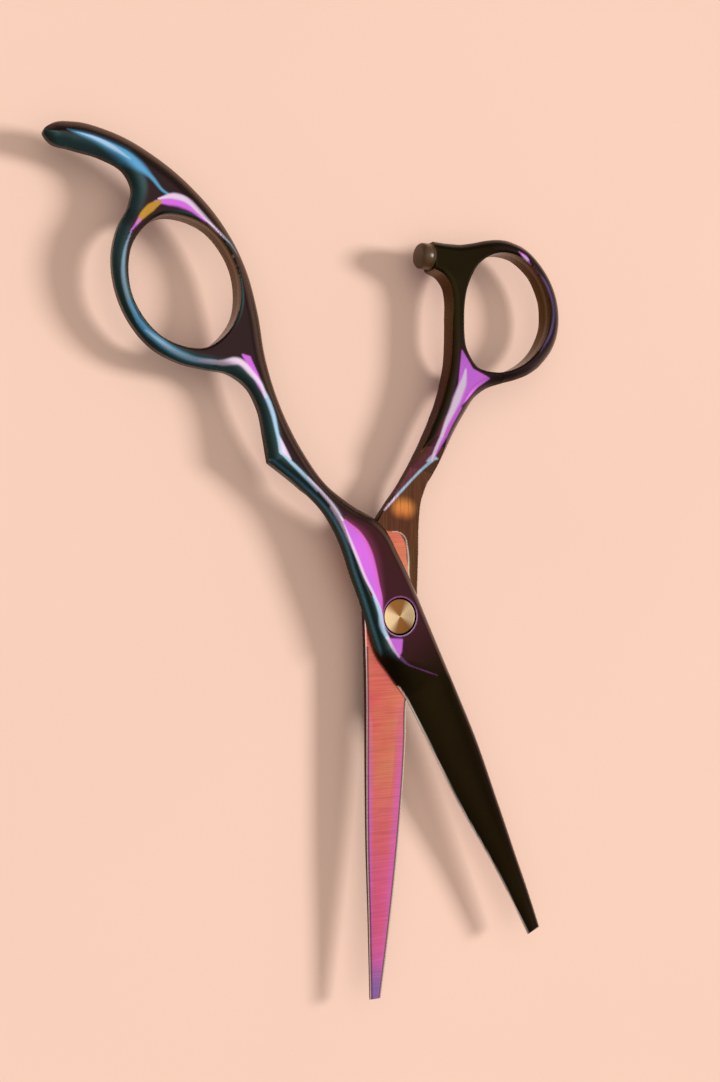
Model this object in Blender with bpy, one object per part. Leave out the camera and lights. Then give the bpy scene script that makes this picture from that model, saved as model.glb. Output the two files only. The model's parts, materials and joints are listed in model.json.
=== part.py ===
"""Hair cutting shears, open at 30 degrees, as an assembly of separate pieces.

Every piece has its origin on the pivot axis, at the ride plane where the two blades meet.
The finger half lies on the upper side of that plane and the thumb half on its lower side.
World Z is the pivot axis, and Z = 0 is the flat rear end of the pivot screw.
"""

import math

import bmesh
import bpy
import numpy as np
from mathutils import Vector
from mathutils.geometry import delaunay_2d_cdt

MM = 0.001

# Reach of the two ends, from the pivot axis
BLADE_REACH = 75.0 * MM
HANDLE_REACH = 75.5 * MM

# Halves
PLATE_THICKNESS = 3.2 * MM
TIP_THICKNESS = 1.3 * MM
RING_DEPTH = 4.8 * MM
SHANK_RISE = 2.8 * MM
BLADE_TAPER_FROM = 18.0 * MM
SHANK_TAPER_FROM = 24.0 * MM
SHANK_TAPER_TO = 40.0 * MM
RING_DEPTH_FROM = 55.0 * MM
RIDE_GAP = 0.10 * MM
RIDE_RADIUS = 30.0 * MM
RIDE_RAMP = 0.32
FINGER_HOLE_WIDTH = 21.4 * MM
THUMB_HOLE_WIDTH = 21.9 * MM

# Pivot screw and its thrust bearing, in the finger half
HEAD_DIAMETER = 7.0 * MM
HEAD_THICKNESS = 0.85 * MM
HEAD_INSET = 0.05 * MM
HEAD_CHAMFER = 0.10 * MM
HEAD_CLEARANCE = 0.47 * MM
NECK_DIAMETER = 3.6 * MM
KEY_WIDTH = 2.5 * MM
THREAD_DIAMETER = 2.4 * MM
RUNNING_CLEARANCE = 0.05 * MM
SEAT_GAP = 0.05 * MM
UPPER_RACE_THICKNESS = 0.25 * MM
LOWER_RACE_THICKNESS = 0.30 * MM
BALL_DIAMETER = 0.90 * MM
BALL_COUNT = 8
BALL_CIRCLE_DIAMETER = 5.4 * MM
CAGE_THICKNESS = 0.45 * MM
CAGE_BAND = 1.4 * MM
RACE_BAND = 1.5 * MM

# Washer between the halves, disc spring and tension nut, in the thumb half
GLIDE_DIAMETER = 7.8 * MM
GLIDE_THICKNESS = 0.35 * MM
NUT_DIAMETER = 8.0 * MM
NUT_THICKNESS = 1.3 * MM
NUT_PROUD = 0.75 * MM
NUT_CHAMFER = 0.10 * MM
NUT_NOTCH_WIDTH = 1.1 * MM
NUT_NOTCH_DEPTH = 0.55 * MM
NUT_NOTCH_LENGTH = 1.3 * MM
NUT_CLEARANCE = 0.30 * MM
SPRING_DIAMETER = 7.4 * MM
SPRING_STOCK = 0.25 * MM
SPRING_RISE = 0.18 * MM
SCREW_END_PROUD = 0.15 * MM

# Bumper on the spur of the thumb ring
BUMPER_DIAMETER = 5.2 * MM
BUMPER_LENGTH = 2.8 * MM
BUMPER_STEM_DIAMETER = 2.4 * MM
BUMPER_STEM_LENGTH = 2.6 * MM
BUMPER_ROUND = 0.7 * MM

# Mesh fineness
OUTLINE_STEP = 1.15 * MM
FIELD_STEP = 1.3 * MM
FLANK_STEP = 0.35 * MM
FIELD_CLEARANCE = 0.45
ROUND_SEGMENTS = 40
STEM_SEGMENTS = 32
BALL_SEGMENTS = 12
POCKET_SEGMENTS = 18
POINTS_AT_ONCE = 400
WELD_DISTANCE = 1e-7

# How far a cutter runs past the face that it opens
CUT_PAST = 1.0 * MM

# Levels above (+) or below (-) the ride plane
INNER = RIDE_GAP / 2
OUTER = INNER + PLATE_THICKNESS
HEAD_TOP = OUTER - HEAD_INSET
HEAD_BOTTOM = HEAD_TOP - HEAD_THICKNESS
UPPER_RACE_TOP = HEAD_BOTTOM - SEAT_GAP
BALL_TOP = UPPER_RACE_TOP - UPPER_RACE_THICKNESS - SEAT_GAP
BALL_CENTRE = BALL_TOP - BALL_DIAMETER / 2
LOWER_RACE_TOP = BALL_CENTRE - BALL_DIAMETER / 2 - SEAT_GAP
LOWER_RACE_BOTTOM = LOWER_RACE_TOP - LOWER_RACE_THICKNESS
COUNTERBORE_FLOOR = LOWER_RACE_BOTTOM - SEAT_GAP
GLIDE_TOP = INNER - SEAT_GAP
GLIDE_BOTTOM = GLIDE_TOP - GLIDE_THICKNESS
GLIDE_FLOOR = GLIDE_BOTTOM - SEAT_GAP
NUT_REAR = -OUTER - NUT_PROUD
NUT_FRONT = NUT_REAR + NUT_THICKNESS
SPRING_REAR = NUT_FRONT + SEAT_GAP
SPRING_FRONT = SPRING_REAR + SPRING_STOCK + SPRING_RISE
REAR_FLOOR = SPRING_FRONT + SEAT_GAP
SCREW_END = NUT_REAR - SCREW_END_PROUD
RIDE_HEIGHT = -SCREW_END

# The outlines below are drawn at these reaches, in millimetres from the pivot axis
DRAWN_BLADE_REACH = 75.0
DRAWN_HANDLE_REACH = 75.5
STRETCH_BLADE_FROM, STRETCH_BLADE_TO = 18.0, 70.0
STRETCH_SHANK_FROM, STRETCH_SHANK_TO = 26.0, 44.0

# Each run of an outline: its points, the width of the flank that rises from it (start, end),
# and how far its upright rim reaches to the outer and to the inner side (start, end)
FINGER_RUNS = [
    ([(32.7, -67.3), (25.0, -53.6), (15.0, -37.7), (7.0, -23.4), (3.0, -16.5)],
     (2.4, 8.0), (0.30, 0.30), (0.0, 0.0)),
    ([(3.0, -16.5), (-0.5, -12.0), (-3.8, -7.6)],
     (8.0, 2.8), (0.30, 0.50), (0.0, 0.0)),
    ([(-3.8, -7.6), (-5.6, -2.5), (-7.3, 2.3), (-9.8, 8.5), (-12.0, 14.4)],
     (2.8, 2.0), (0.5, 0.9), (0.0, 0.0)),
    ([(-12.0, 14.4), (-15.5, 20.1), (-21.2, 25.2), (-27.0, 29.3)],
     (2.0, 3.0), (0.9, 0.9), (0.0, 0.8)),
    ([(-27.0, 29.3), (-27.9, 34.1), (-29.2, 39.5), (-31.5, 43.3), (-35.2, 45.5), (-39.6, 46.0),
      (-44.8, 46.8), (-50.0, 49.1), (-54.2, 53.5), (-56.9, 59.7), (-57.4, 65.5), (-56.3, 70.3),
      (-54.4, 74.3)],
     (3.0, 2.3), (0.8, 0.8), (0.8, 0.8)),
    ([(-54.4, 74.3), (-53.9, 77.4), (-55.3, 80.1), (-59.7, 82.0), (-65.0, 82.7), (-68.6, 83.3),
      (-69.8, 84.9), (-68.2, 86.6), (-64.8, 87.5), (-58.2, 87.0), (-50.0, 84.0)],
     (2.6, 2.6), (0.5, 0.5), (0.5, 0.5)),
    ([(-50.0, 84.0), (-42.5, 79.1), (-36.0, 72.4), (-31.9, 65.2), (-29.6, 57.5), (-28.0, 48.8),
      (-25.3, 40.8), (-20.4, 31.8), (-15.2, 25.4), (-9.1, 21.3)],
     (2.6, 2.8), (0.8, 0.9), (0.8, 0.8)),
    ([(-9.1, 21.3), (-5.0, 19.3), (-2.3, 17.0), (0.4, 12.5), (3.8, 6.0), (6.5, 0.3),
      (10.5, -8.2), (13.7, -14.9)],
     (2.4, 1.2), (1.4, 2.4), (0.0, 0.0)),
    ([(13.7, -14.9), (18.8, -25.4), (23.9, -37.6), (29.1, -50.3), (32.8, -59.3), (35.4, -66.1)],
     (1.6, 1.0), (2.0, 0.7), (0.0, 0.0)),
    ([(35.4, -66.1), (32.7, -67.3)],
     (1.2, 1.2), (0.5, 0.3), (0.0, 0.0)),
]
THUMB_RUNS = [
    ([(-2.6, -74.8), (-0.9, -63.5), (1.4, -45.0), (3.1, -25.0), (3.4, -17.0)],
     (2.4, 8.0), (0.30, 0.30), (0.0, 0.0)),
    ([(3.4, -17.0), (4.7, -11.0), (5.6, -5.0)],
     (8.0, 2.8), (0.30, 0.50), (0.0, 0.0)),
    ([(5.6, -5.0), (5.9, 2.0), (6.3, 12.0), (6.6, 20.0)],
     (2.8, 2.0), (0.50, 1.4), (0.0, -0.5)),
    ([(6.6, 20.0), (7.0, 23.0), (8.2, 26.3), (10.4, 29.8), (12.4, 33.4), (14.8, 38.0),
      (17.1, 41.7), (19.3, 44.8), (22.0, 46.8), (25.8, 48.2)],
     (2.4, 2.6), (1.4, 0.8), (-0.5, 0.8)),
    ([(25.8, 48.2), (29.8, 49.4), (33.9, 51.3), (37.2, 54.1), (39.7, 57.6), (40.8, 61.1),
      (40.9, 64.7), (40.1, 68.3), (38.3, 71.8), (35.7, 74.8), (32.8, 77.0), (29.3, 78.2),
      (25.8, 78.5), (22.3, 77.9), (18.8, 76.9), (15.3, 76.1), (12.0, 75.9), (9.0, 75.9)],
     (2.3, 1.6), (0.8, 1.2), (0.8, 1.2)),
    ([(9.0, 75.9), (9.0, 70.2)],
     (0.3, 0.3), (2.3, 2.3), (2.3, 2.3)),
    ([(9.0, 70.2), (11.3, 69.3), (12.9, 67.5), (13.5, 65.0), (13.5, 60.5), (13.4, 55.5),
      (13.1, 51.5), (12.2, 47.4), (10.6, 42.4), (8.8, 38.3), (6.8, 34.3)],
     (0.9, 1.8), (1.9, 1.6), (1.9, 1.2)),
    ([(6.8, 34.3), (4.4, 30.0), (2.0, 26.2), (-1.0, 22.2)],
     (1.8, 1.8), (1.6, 1.8), (1.2, -0.5)),
    ([(-1.0, 22.2), (-3.5, 18.6), (-5.0, 14.5), (-5.9, 9.0), (-6.1, 2.0), (-5.9, -5.0), (-5.7, -15.0)],
     (1.6, 1.6), (1.8, 1.4), (-0.5, 0.0)),
    ([(-5.7, -15.0), (-5.7, -30.0), (-5.6, -45.0), (-5.2, -60.0), (-4.9, -74.8)],
     (3.0, 1.6), (0.9, 0.5), (0.0, 0.0)),
    ([(-4.9, -74.8), (-2.6, -74.8)],
     (1.5, 1.5), (0.4, 0.3), (0.0, 0.0)),
]
FINGER_HOLE = [(-34.2, 65.1), (-40.0, 72.2), (-48.4, 73.1), (-54.1, 67.2), (-54.2, 57.9),
               (-48.3, 50.8), (-40.0, 49.8), (-34.2, 55.8)]
THUMB_HOLE = [(16.0, 60.5), (16.7, 54.4), (19.2, 51.1), (24.0, 50.3), (30.0, 52.0), (35.0, 56.0),
              (37.7, 61.5), (37.6, 66.8), (34.9, 72.1), (30.0, 75.3), (24.5, 75.4), (19.6, 72.4),
              (16.9, 67.4)]
HOLE_FLANK, HOLE_RIM = 0.6, 2.0
DRAWN_HOLE_WIDTH = {"finger": 21.4, "thumb": 21.9}
RING_GROWTH_FULL, RING_GROWTH_NONE = 18.0, 34.0
SPUR_FACE_X, SPUR_MIDDLE_Y = 9.0, 73.0


class Half:
    """Where the tip and the ring of a half are drawn, and how wide its hole really is."""

    def __init__(self, tip, ring, hole_width, drawn_hole_width):
        self.tip, self.ring = np.array(tip), np.array(ring)
        self.growth = (hole_width / MM - drawn_hole_width) / 2

    def stretch(self, points):
        """Moves drawn points out to the real reach of blade and handle, and widens the ring."""
        points = np.asarray(points, float)
        away = points - self.ring
        far = np.linalg.norm(away, axis=1)
        near = np.clip((RING_GROWTH_NONE - far) / (RING_GROWTH_NONE - RING_GROWTH_FULL), 0, 1)
        grown = points + (self.growth * near / np.maximum(far, 1.0))[:, None] * away
        reach = np.hypot(points[:, 0], points[:, 1])
        blade = np.clip((reach - STRETCH_BLADE_FROM) / (STRETCH_BLADE_TO - STRETCH_BLADE_FROM), 0, 1)
        shank = np.clip((reach - STRETCH_SHANK_FROM) / (STRETCH_SHANK_TO - STRETCH_SHANK_FROM), 0, 1)
        is_blade = points[:, 1:] < 0
        return grown + np.where(
            is_blade,
            blade[:, None] * (BLADE_REACH / MM - DRAWN_BLADE_REACH) * self.tip / np.hypot(*self.tip),
            shank[:, None] * (HANDLE_REACH / MM - DRAWN_HANDLE_REACH) * self.ring / np.hypot(*self.ring),
        )


FINGER = Half((34.05, -66.8), (-44.2, 61.5), FINGER_HOLE_WIDTH, DRAWN_HOLE_WIDTH["finger"])
THUMB = Half((-3.8, -74.8), (27.0, 63.0), THUMB_HOLE_WIDTH, DRAWN_HOLE_WIDTH["thumb"])


def clear_scene():
    for obj in list(bpy.data.objects):
        bpy.data.objects.remove(obj)


def finish(name, colour, metallic, roughness, coat=0.0):
    """A Principled material in one plain finish."""
    material = bpy.data.materials.new(name)
    material.use_nodes = True
    shader = material.node_tree.nodes["Principled BSDF"]
    shader.inputs["Base Color"].default_value = (*colour, 1.0)
    shader.inputs["Metallic"].default_value = metallic
    shader.inputs["Roughness"].default_value = roughness
    shader.inputs["Coat Weight"].default_value = coat
    return material


def add_piece(name, mesh, material, sharp=35):
    """Puts a mesh, drawn about the ride plane, into the scene as a named piece on the pivot axis."""
    mesh.shade_smooth()
    mesh.set_sharp_from_angle(angle=math.radians(sharp))
    mesh.materials.append(material)
    piece = bpy.data.objects.new(name, mesh)
    piece.location = (0.0, 0.0, RIDE_HEIGHT)
    bpy.context.scene.collection.objects.link(piece)
    return piece


def cut(piece, cutter):
    """Takes the cutter's shape out of the piece, and hides the cutter."""
    cutter.hide_render = True
    cutter.display_type = "WIRE"
    modifier = piece.modifiers.new(cutter.name, "BOOLEAN")
    modifier.operation = "DIFFERENCE"
    modifier.solver = "EXACT"
    modifier.object = cutter


# --- Round pieces ------------------------------------------------------------------------------


def circle(radius, level, segments=ROUND_SEGMENTS):
    turn = np.arange(segments) * (2 * math.pi / segments)
    return np.column_stack((radius * np.cos(turn), radius * np.sin(turn), np.full(segments, level)))


def square(width, level, segments=ROUND_SEGMENTS):
    """Points on a square, at the same directions from the axis as those of a circle."""
    turn = np.arange(segments) * (2 * math.pi / segments)
    reach = width / 2 / np.maximum(np.abs(np.cos(turn)), np.abs(np.sin(turn)))
    return np.column_stack((reach * np.cos(turn), reach * np.sin(turn), np.full(segments, level)))


def stack(name, sections):
    """A solid through a list of closed sections, lowest first, with a flat cap at each end."""
    count = len(sections[0])
    faces = [list(range(count))[::-1]]
    for low in range(0, (len(sections) - 1) * count, count):
        for i in range(count):
            j = (i + 1) % count
            faces.append([low + i, low + j, low + count + j, low + count + i])
    faces.append(list(range((len(sections) - 1) * count, len(sections) * count)))
    mesh = bpy.data.meshes.new(name)
    mesh.from_pydata(np.vstack(sections).tolist(), [], faces)
    return mesh


def turned_ring(name, profile, segments=ROUND_SEGMENTS):
    """A ring turned from a closed profile of (radius, level) points, counter-clockwise in section."""
    rows = len(profile)
    points = np.vstack([circle(radius, level, segments) for radius, level in profile])
    faces = []
    for row in range(rows):
        here, there = row * segments, (row + 1) % rows * segments
        for i in range(segments):
            j = (i + 1) % segments
            faces.append([here + i, here + j, there + j, there + i])
    mesh = bpy.data.meshes.new(name)
    mesh.from_pydata(points.tolist(), [], faces)
    return mesh


def washer(name, inner_diameter, outer_diameter, bottom, top):
    inner, outer = inner_diameter / 2, outer_diameter / 2
    return turned_ring(name, [(inner, bottom), (outer, bottom), (outer, top), (inner, top)])


def make_screw(material):
    """Flat turned head, round neck, square key that the thumb half holds, and threaded end."""
    neck, key, end = NECK_DIAMETER / 2, KEY_WIDTH, THREAD_DIAMETER / 2
    key_top = GLIDE_FLOOR + SEAT_GAP
    key_bottom = REAR_FLOOR + SEAT_GAP
    head = HEAD_DIAMETER / 2
    sections = [
        circle(end - HEAD_CHAMFER, SCREW_END),
        circle(end, SCREW_END + HEAD_CHAMFER),
        circle(end, key_bottom),
        square(key, key_bottom),
        square(key, key_top),
        circle(neck, key_top),
        circle(neck, HEAD_BOTTOM),
        circle(head, HEAD_BOTTOM),
        circle(head, HEAD_TOP - HEAD_CHAMFER),
        circle(head - HEAD_CHAMFER, HEAD_TOP),
    ]
    return add_piece("pivot_screw", stack("pivot_screw", sections), material)


def make_bearing(race_material, cage_material, ball_material):
    """Two races, and between them a cage that holds the balls on their circle."""
    neck_hole = NECK_DIAMETER + 2 * RUNNING_CLEARANCE
    race_outer = BALL_CIRCLE_DIAMETER + RACE_BAND
    upper = washer("upper_race", neck_hole, race_outer, UPPER_RACE_TOP - UPPER_RACE_THICKNESS,
                   UPPER_RACE_TOP)
    lower = washer("lower_race", neck_hole, race_outer, LOWER_RACE_BOTTOM, LOWER_RACE_TOP)
    add_piece("upper_race", upper, race_material)
    add_piece("lower_race", lower, race_material)

    rims = (BALL_CIRCLE_DIAMETER + CAGE_BAND) / 2, (BALL_CIRCLE_DIAMETER - CAGE_BAND) / 2
    loops = [circle(rim, 0.0)[:, :2] / MM for rim in rims]
    for number in range(1, BALL_COUNT + 1):
        turn = 2 * math.pi * number / BALL_COUNT
        place = Vector((math.cos(turn), math.sin(turn), 0.0)) * (BALL_CIRCLE_DIAMETER / 2)
        add_ball(f"bearing_ball_{number}", place, ball_material)
        pocket = circle(BALL_DIAMETER / 2 + RUNNING_CLEARANCE, 0.0, POCKET_SEGMENTS)[:, :2]
        loops.append((pocket + place[:2]) / MM)
    flat, triangles, border = fill_loops(loops)
    top = np.full(len(flat), BALL_CENTRE + CAGE_THICKNESS / 2)
    cage = shell_mesh("bearing_cage", flat * MM, triangles, border, top, top - CAGE_THICKNESS, 1)
    add_piece("bearing_cage", cage, cage_material)


def add_ball(name, place, material):
    shape = bmesh.new()
    bmesh.ops.create_uvsphere(shape, u_segments=BALL_SEGMENTS, v_segments=BALL_SEGMENTS // 2,
                              radius=BALL_DIAMETER / 2)
    bmesh.ops.translate(shape, verts=shape.verts, vec=place + Vector((0.0, 0.0, BALL_CENTRE)))
    mesh = bpy.data.meshes.new(name)
    shape.to_mesh(mesh)
    shape.free()
    add_piece(name, mesh, material, sharp=60)


def make_glide_washer(material):
    mesh = washer("glide_washer", NECK_DIAMETER + 2 * RUNNING_CLEARANCE, GLIDE_DIAMETER,
                  GLIDE_BOTTOM, GLIDE_TOP)
    add_piece("glide_washer", mesh, material)


def make_spring_washer(material):
    """A disc spring: a flat ring dished so that its inner rim stands off the nut."""
    inner = THREAD_DIAMETER / 2 + RUNNING_CLEARANCE
    outer = SPRING_DIAMETER / 2
    profile = [(inner, SPRING_REAR + SPRING_RISE), (outer, SPRING_REAR),
               (outer, SPRING_REAR + SPRING_STOCK), (inner, SPRING_FRONT)]
    add_piece("spring_washer", turned_ring("spring_washer", profile), material)


def make_nut(material):
    """A round nut with four notches in its rear face for a pin spanner."""
    bore = THREAD_DIAMETER / 2 + RUNNING_CLEARANCE
    outer = NUT_DIAMETER / 2
    profile = [(bore, NUT_REAR), (outer - NUT_CHAMFER, NUT_REAR), (outer, NUT_REAR + NUT_CHAMFER),
               (outer, NUT_FRONT), (bore, NUT_FRONT)]
    nut = add_piece("tension_nut", turned_ring("tension_nut", profile), material)
    for number in range(4):
        cutter = box_mesh("notch", (outer - NUT_NOTCH_LENGTH, outer + CUT_PAST),
                          (-NUT_NOTCH_WIDTH / 2, NUT_NOTCH_WIDTH / 2),
                          (NUT_REAR - NUT_NOTCH_DEPTH, NUT_REAR + NUT_NOTCH_DEPTH))
        cutter = add_piece(f"cut_notch_{number + 1}", cutter, material)
        cutter.rotation_euler = (0.0, 0.0, math.radians(45 + 90 * number))
        cut(nut, cutter)


def box_mesh(name, across, along, up):
    corners = [(x, y, z) for z in up for x, y in
               ((across[0], along[0]), (across[1], along[0]), (across[1], along[1]), (across[0], along[1]))]
    faces = [(3, 2, 1, 0), (4, 5, 6, 7), (0, 1, 5, 4), (1, 2, 6, 5), (2, 3, 7, 6), (3, 0, 4, 7)]
    mesh = bpy.data.meshes.new(name)
    mesh.from_pydata(corners, [], faces)
    return mesh


def lay_along_x(mesh, middle):
    """Turns a solid stacked along Z so that its low end points to -X, and moves it to a place."""
    points = np.array([vertex.co for vertex in mesh.vertices])
    turned = np.column_stack((points[:, 2], -points[:, 1], points[:, 0])) + middle
    mesh.vertices.foreach_set("co", turned.astype(np.float32).ravel())
    mesh.update()
    return mesh


def spur_place():
    """The middle of the flat end of the spur, where the bumper seats."""
    x, y = THUMB.stretch([(SPUR_FACE_X, SPUR_MIDDLE_Y)])[0]
    return np.array([x * MM, y * MM, 0.0])


def make_bumper(material):
    """A soft button with a stem that plugs into the spur."""
    radius, stem = BUMPER_DIAMETER / 2, BUMPER_STEM_DIAMETER / 2
    face = -BUMPER_LENGTH - SEAT_GAP
    mid_round = BUMPER_ROUND * (1 - math.sqrt(0.5))
    sections = [
        circle(radius - BUMPER_ROUND, face, STEM_SEGMENTS),
        circle(radius - mid_round, face + mid_round, STEM_SEGMENTS),
        circle(radius, face + BUMPER_ROUND, STEM_SEGMENTS),
        circle(radius, -SEAT_GAP, STEM_SEGMENTS),
        circle(stem, -SEAT_GAP, STEM_SEGMENTS),
        circle(stem, BUMPER_STEM_LENGTH, STEM_SEGMENTS),
    ]
    mesh = lay_along_x(stack("bumper", sections), spur_place())
    add_piece("bumper", mesh, material)


# --- The two halves ----------------------------------------------------------------------------


def smooth_line(knots, step, closed=False):
    """Points about one step apart on a smooth curve through the knots, without its last point."""
    knots = np.asarray(knots, float)
    if closed:
        ends = np.vstack((knots[-1], knots, knots[:2]))
    else:
        ends = np.vstack((2 * knots[0] - knots[1], knots, 2 * knots[-1] - knots[-2]))
    line = []
    for a, b, c, d in zip(ends[:-3], ends[1:-2], ends[2:-1], ends[3:]):
        count = max(1, round(math.dist(b, c) / step))
        t = (np.arange(count) / count)[:, None]
        line.append(hermite(b, c, tangent(a, b, c), tangent(b, c, d), t))
    return np.vstack(line)


def tangent(before, here, after):
    """The direction of the curve at a knot, shared between its two spans by their lengths."""
    back, ahead = math.dist(before, here), math.dist(here, after)
    return ((here - before) / back * ahead + (after - here) / ahead * back) / (back + ahead)


def hermite(start, end, start_way, end_way, t):
    span = math.dist(start, end)
    return ((2 * t**3 - 3 * t**2 + 1) * start + (t**3 - 2 * t**2 + t) * span * start_way
            + (3 * t**2 - 2 * t**3) * end + (t**3 - t**2) * span * end_way)


def outline(runs, half, step):
    """The outline's points, and at each its flank width, outer rim and inner rim, in millimetres."""
    points, values = [], []
    for knots, *pairs in runs:
        line = smooth_line(half.stretch(knots), step)
        share = (np.arange(len(line)) / len(line))[:, None]
        pairs = np.array(pairs)
        points.append(line)
        values.append(pairs[:, 0] + share * (pairs[:, 1] - pairs[:, 0]))
    return np.vstack(points), np.vstack(values)


def hole_outline(knots, half, step):
    """The outline of the hole in a ring, with the values of its crisp inner edge."""
    line = smooth_line(half.stretch(knots), step, closed=True)
    return line, np.tile((HOLE_FLANK, HOLE_RIM, HOLE_RIM), (len(line), 1))


def outer_cap(points):
    """How high the outer side may rise: the plate's thickness, less along the blade and the handle."""
    reach = np.hypot(points[:, 0], points[:, 1]) * MM
    blade = np.interp(reach, (BLADE_TAPER_FROM, BLADE_REACH), (PLATE_THICKNESS, TIP_THICKNESS))
    handle = np.interp(reach, (SHANK_TAPER_FROM, SHANK_TAPER_TO, RING_DEPTH_FROM),
                       (PLATE_THICKNESS, SHANK_RISE, RING_DEPTH / 2))
    return (np.where(points[:, 1] < 0, blade, handle) + INNER) / MM


def inner_cap(points):
    """How far the inner side may reach past the ride plane: nothing at the ride, then a ramp."""
    reach = np.hypot(points[:, 0], points[:, 1]) * MM
    ramp = np.where(points[:, 1] < 0, 0.0, (reach - RIDE_RADIUS) * RIDE_RAMP)
    return np.clip(ramp - INNER, -INNER, RING_DEPTH / 2) / MM


def envelope(points, rim_points, widths, rims, cap):
    """The lowest of the flanks that rise from every rim point, rounded as they reach the cap."""
    height = np.array(cap)
    for start in range(0, len(points), POINTS_AT_ONCE):
        part = slice(start, start + POINTS_AT_ONCE)
        away = np.linalg.norm(points[part, None] - rim_points[None], axis=2) / widths
        rise = 1 - (1 - np.clip(away, 0, 1)) ** 2
        height[part] = (rims + (cap[part, None] - rims) * rise).min(axis=1)
    return height


def field_points(loops, step):
    """A triangular grid of points inside the outline, clear of its edges."""
    border = np.vstack(loops)
    low, high = border.min(axis=0), border.max(axis=0)
    row_step = step * math.sqrt(3) / 2
    x, y = np.meshgrid(np.arange(low[0], high[0], step), np.arange(low[1], high[1], row_step))
    x[1::2] += step / 2
    grid = np.column_stack((x.ravel(), y.ravel()))
    inside = np.zeros(len(grid), bool)
    for loop in loops:
        inside ^= inside_loop(grid, loop)
    grid = grid[inside]
    near = np.array([np.linalg.norm(border - point, axis=1).min() for point in grid])
    return grid[near > step * FIELD_CLEARANCE]


def inside_loop(points, loop):
    """Whether each point has an odd number of the loop's edges to its right."""
    odd = np.zeros(len(points), bool)
    x, y = points[:, 0], points[:, 1]
    for (ax, ay), (bx, by) in zip(loop, np.roll(loop, -1, axis=0)):
        if ay != by:
            odd ^= ((ay > y) != (by > y)) & (x < (bx - ax) * (y - ay) / (by - ay) + ax)
    return odd


def fill_loops(loops, field=None):
    """Triangles that fill the first loop around the other loops, with extra points inside if given."""
    flat = np.vstack(loops if field is None else loops + [field])
    ends = np.cumsum([0] + [len(loop) for loop in loops])
    border = [list(range(a, b)) for a, b in zip(ends[:-1], ends[1:])]
    edges = [edge for loop in border for edge in zip(loop, loop[1:] + loop[:1])]
    flat = [Vector(point) for point in flat]
    points, _, triangles, *_ = delaunay_2d_cdt(flat, edges, [], 0, WELD_DISTANCE)
    flat = np.array([tuple(point) for point in points])
    triangles = np.array(triangles)
    middles = flat[triangles].mean(axis=1)
    keep = np.zeros(len(triangles), bool)
    for loop in loops:
        keep ^= inside_loop(middles, loop)
    return flat, triangles[keep], border


def half_mesh(name, runs, hole, half, side):
    """A half as one closed shell: triangles over its outline, lifted to both sides, and a rim wall."""
    coarse, fine = OUTLINE_STEP / MM, FLANK_STEP / MM
    loops = [outline(runs, half, coarse)[0], hole_outline(hole, half, coarse)[0]]
    rims = [outline(runs, half, fine), hole_outline(hole, half, fine)]
    rim_points = np.vstack([points for points, _ in rims])
    widths, outer_rims, inner_rims = np.vstack([values for _, values in rims]).T
    flat, triangles, border = fill_loops(loops, field_points(loops, FIELD_STEP / MM))
    outer = envelope(flat, rim_points, widths, outer_rims, outer_cap(flat))
    ring_cap = np.full(len(flat), RING_DEPTH / 2 / MM)
    inner = -np.minimum(envelope(flat, rim_points, widths, inner_rims, ring_cap), inner_cap(flat))
    return shell_mesh(name, flat * MM, triangles, border, outer * MM, inner * MM, side)


def shell_mesh(name, flat, triangles, border, outer, inner, side):
    """Joins the outer and inner skins along the border. Side -1 puts the outer skin underneath."""
    count = len(flat)
    points = np.vstack((np.column_stack((flat, side * outer)), np.column_stack((flat, side * inner))))
    a, b, c = flat[triangles[:, 0]], flat[triangles[:, 1]], flat[triangles[:, 2]]
    left_turn = np.cross(b - a, c - a) * side > 0
    up = np.where(left_turn[:, None], triangles, triangles[:, ::-1])
    faces = up.tolist() + (up[:, ::-1] + count).tolist()
    used = {(tri[i], tri[i - 2]) for tri in up.tolist() for i in range(3)}
    for loop in border:
        for i, j in zip(loop, loop[1:] + loop[:1]):
            if (i, j) in used:
                i, j = j, i
            faces.append([i, j, j + count, i + count])
    mesh = bpy.data.meshes.new(name)
    mesh.from_pydata(points.tolist(), [], faces)
    mesh.validate()
    return mesh


def make_finger_half(material):
    mesh = half_mesh("finger_half", FINGER_RUNS, FINGER_HOLE, FINGER, 1)
    half = add_piece("finger_half", mesh, material, sharp=50)
    bore = NECK_DIAMETER / 2 + RUNNING_CLEARANCE
    recess = (HEAD_DIAMETER + 2 * HEAD_CLEARANCE) / 2
    steps = [circle(bore, INNER - CUT_PAST), circle(bore, COUNTERBORE_FLOOR),
             circle(recess, COUNTERBORE_FLOOR), circle(recess, OUTER + CUT_PAST)]
    cut(half, add_piece("cut_screw_recess", stack("cut_screw_recess", steps), material))


def make_thumb_half(material):
    mesh = half_mesh("thumb_half", THUMB_RUNS, THUMB_HOLE, THUMB, -1)
    half = add_piece("thumb_half", mesh, material, sharp=50)
    key = KEY_WIDTH + 2 * RUNNING_CLEARANCE
    glide = GLIDE_DIAMETER / 2 + RUNNING_CLEARANCE
    recess = (NUT_DIAMETER + 2 * NUT_CLEARANCE) / 2
    steps = [circle(recess, -OUTER - CUT_PAST), circle(recess, REAR_FLOOR), square(key, REAR_FLOOR),
             square(key, GLIDE_FLOOR), circle(glide, GLIDE_FLOOR), circle(glide, CUT_PAST)]
    cut(half, add_piece("cut_nut_recess", stack("cut_nut_recess", steps), material))
    stem = BUMPER_STEM_DIAMETER / 2 + RUNNING_CLEARANCE
    sections = [circle(stem, -CUT_PAST, STEM_SEGMENTS),
                circle(stem, BUMPER_STEM_LENGTH + SEAT_GAP, STEM_SEGMENTS)]
    bore = lay_along_x(stack("cut_stem_bore", sections), spur_place())
    cut(half, add_piece("cut_stem_bore", bore, material))


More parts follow.
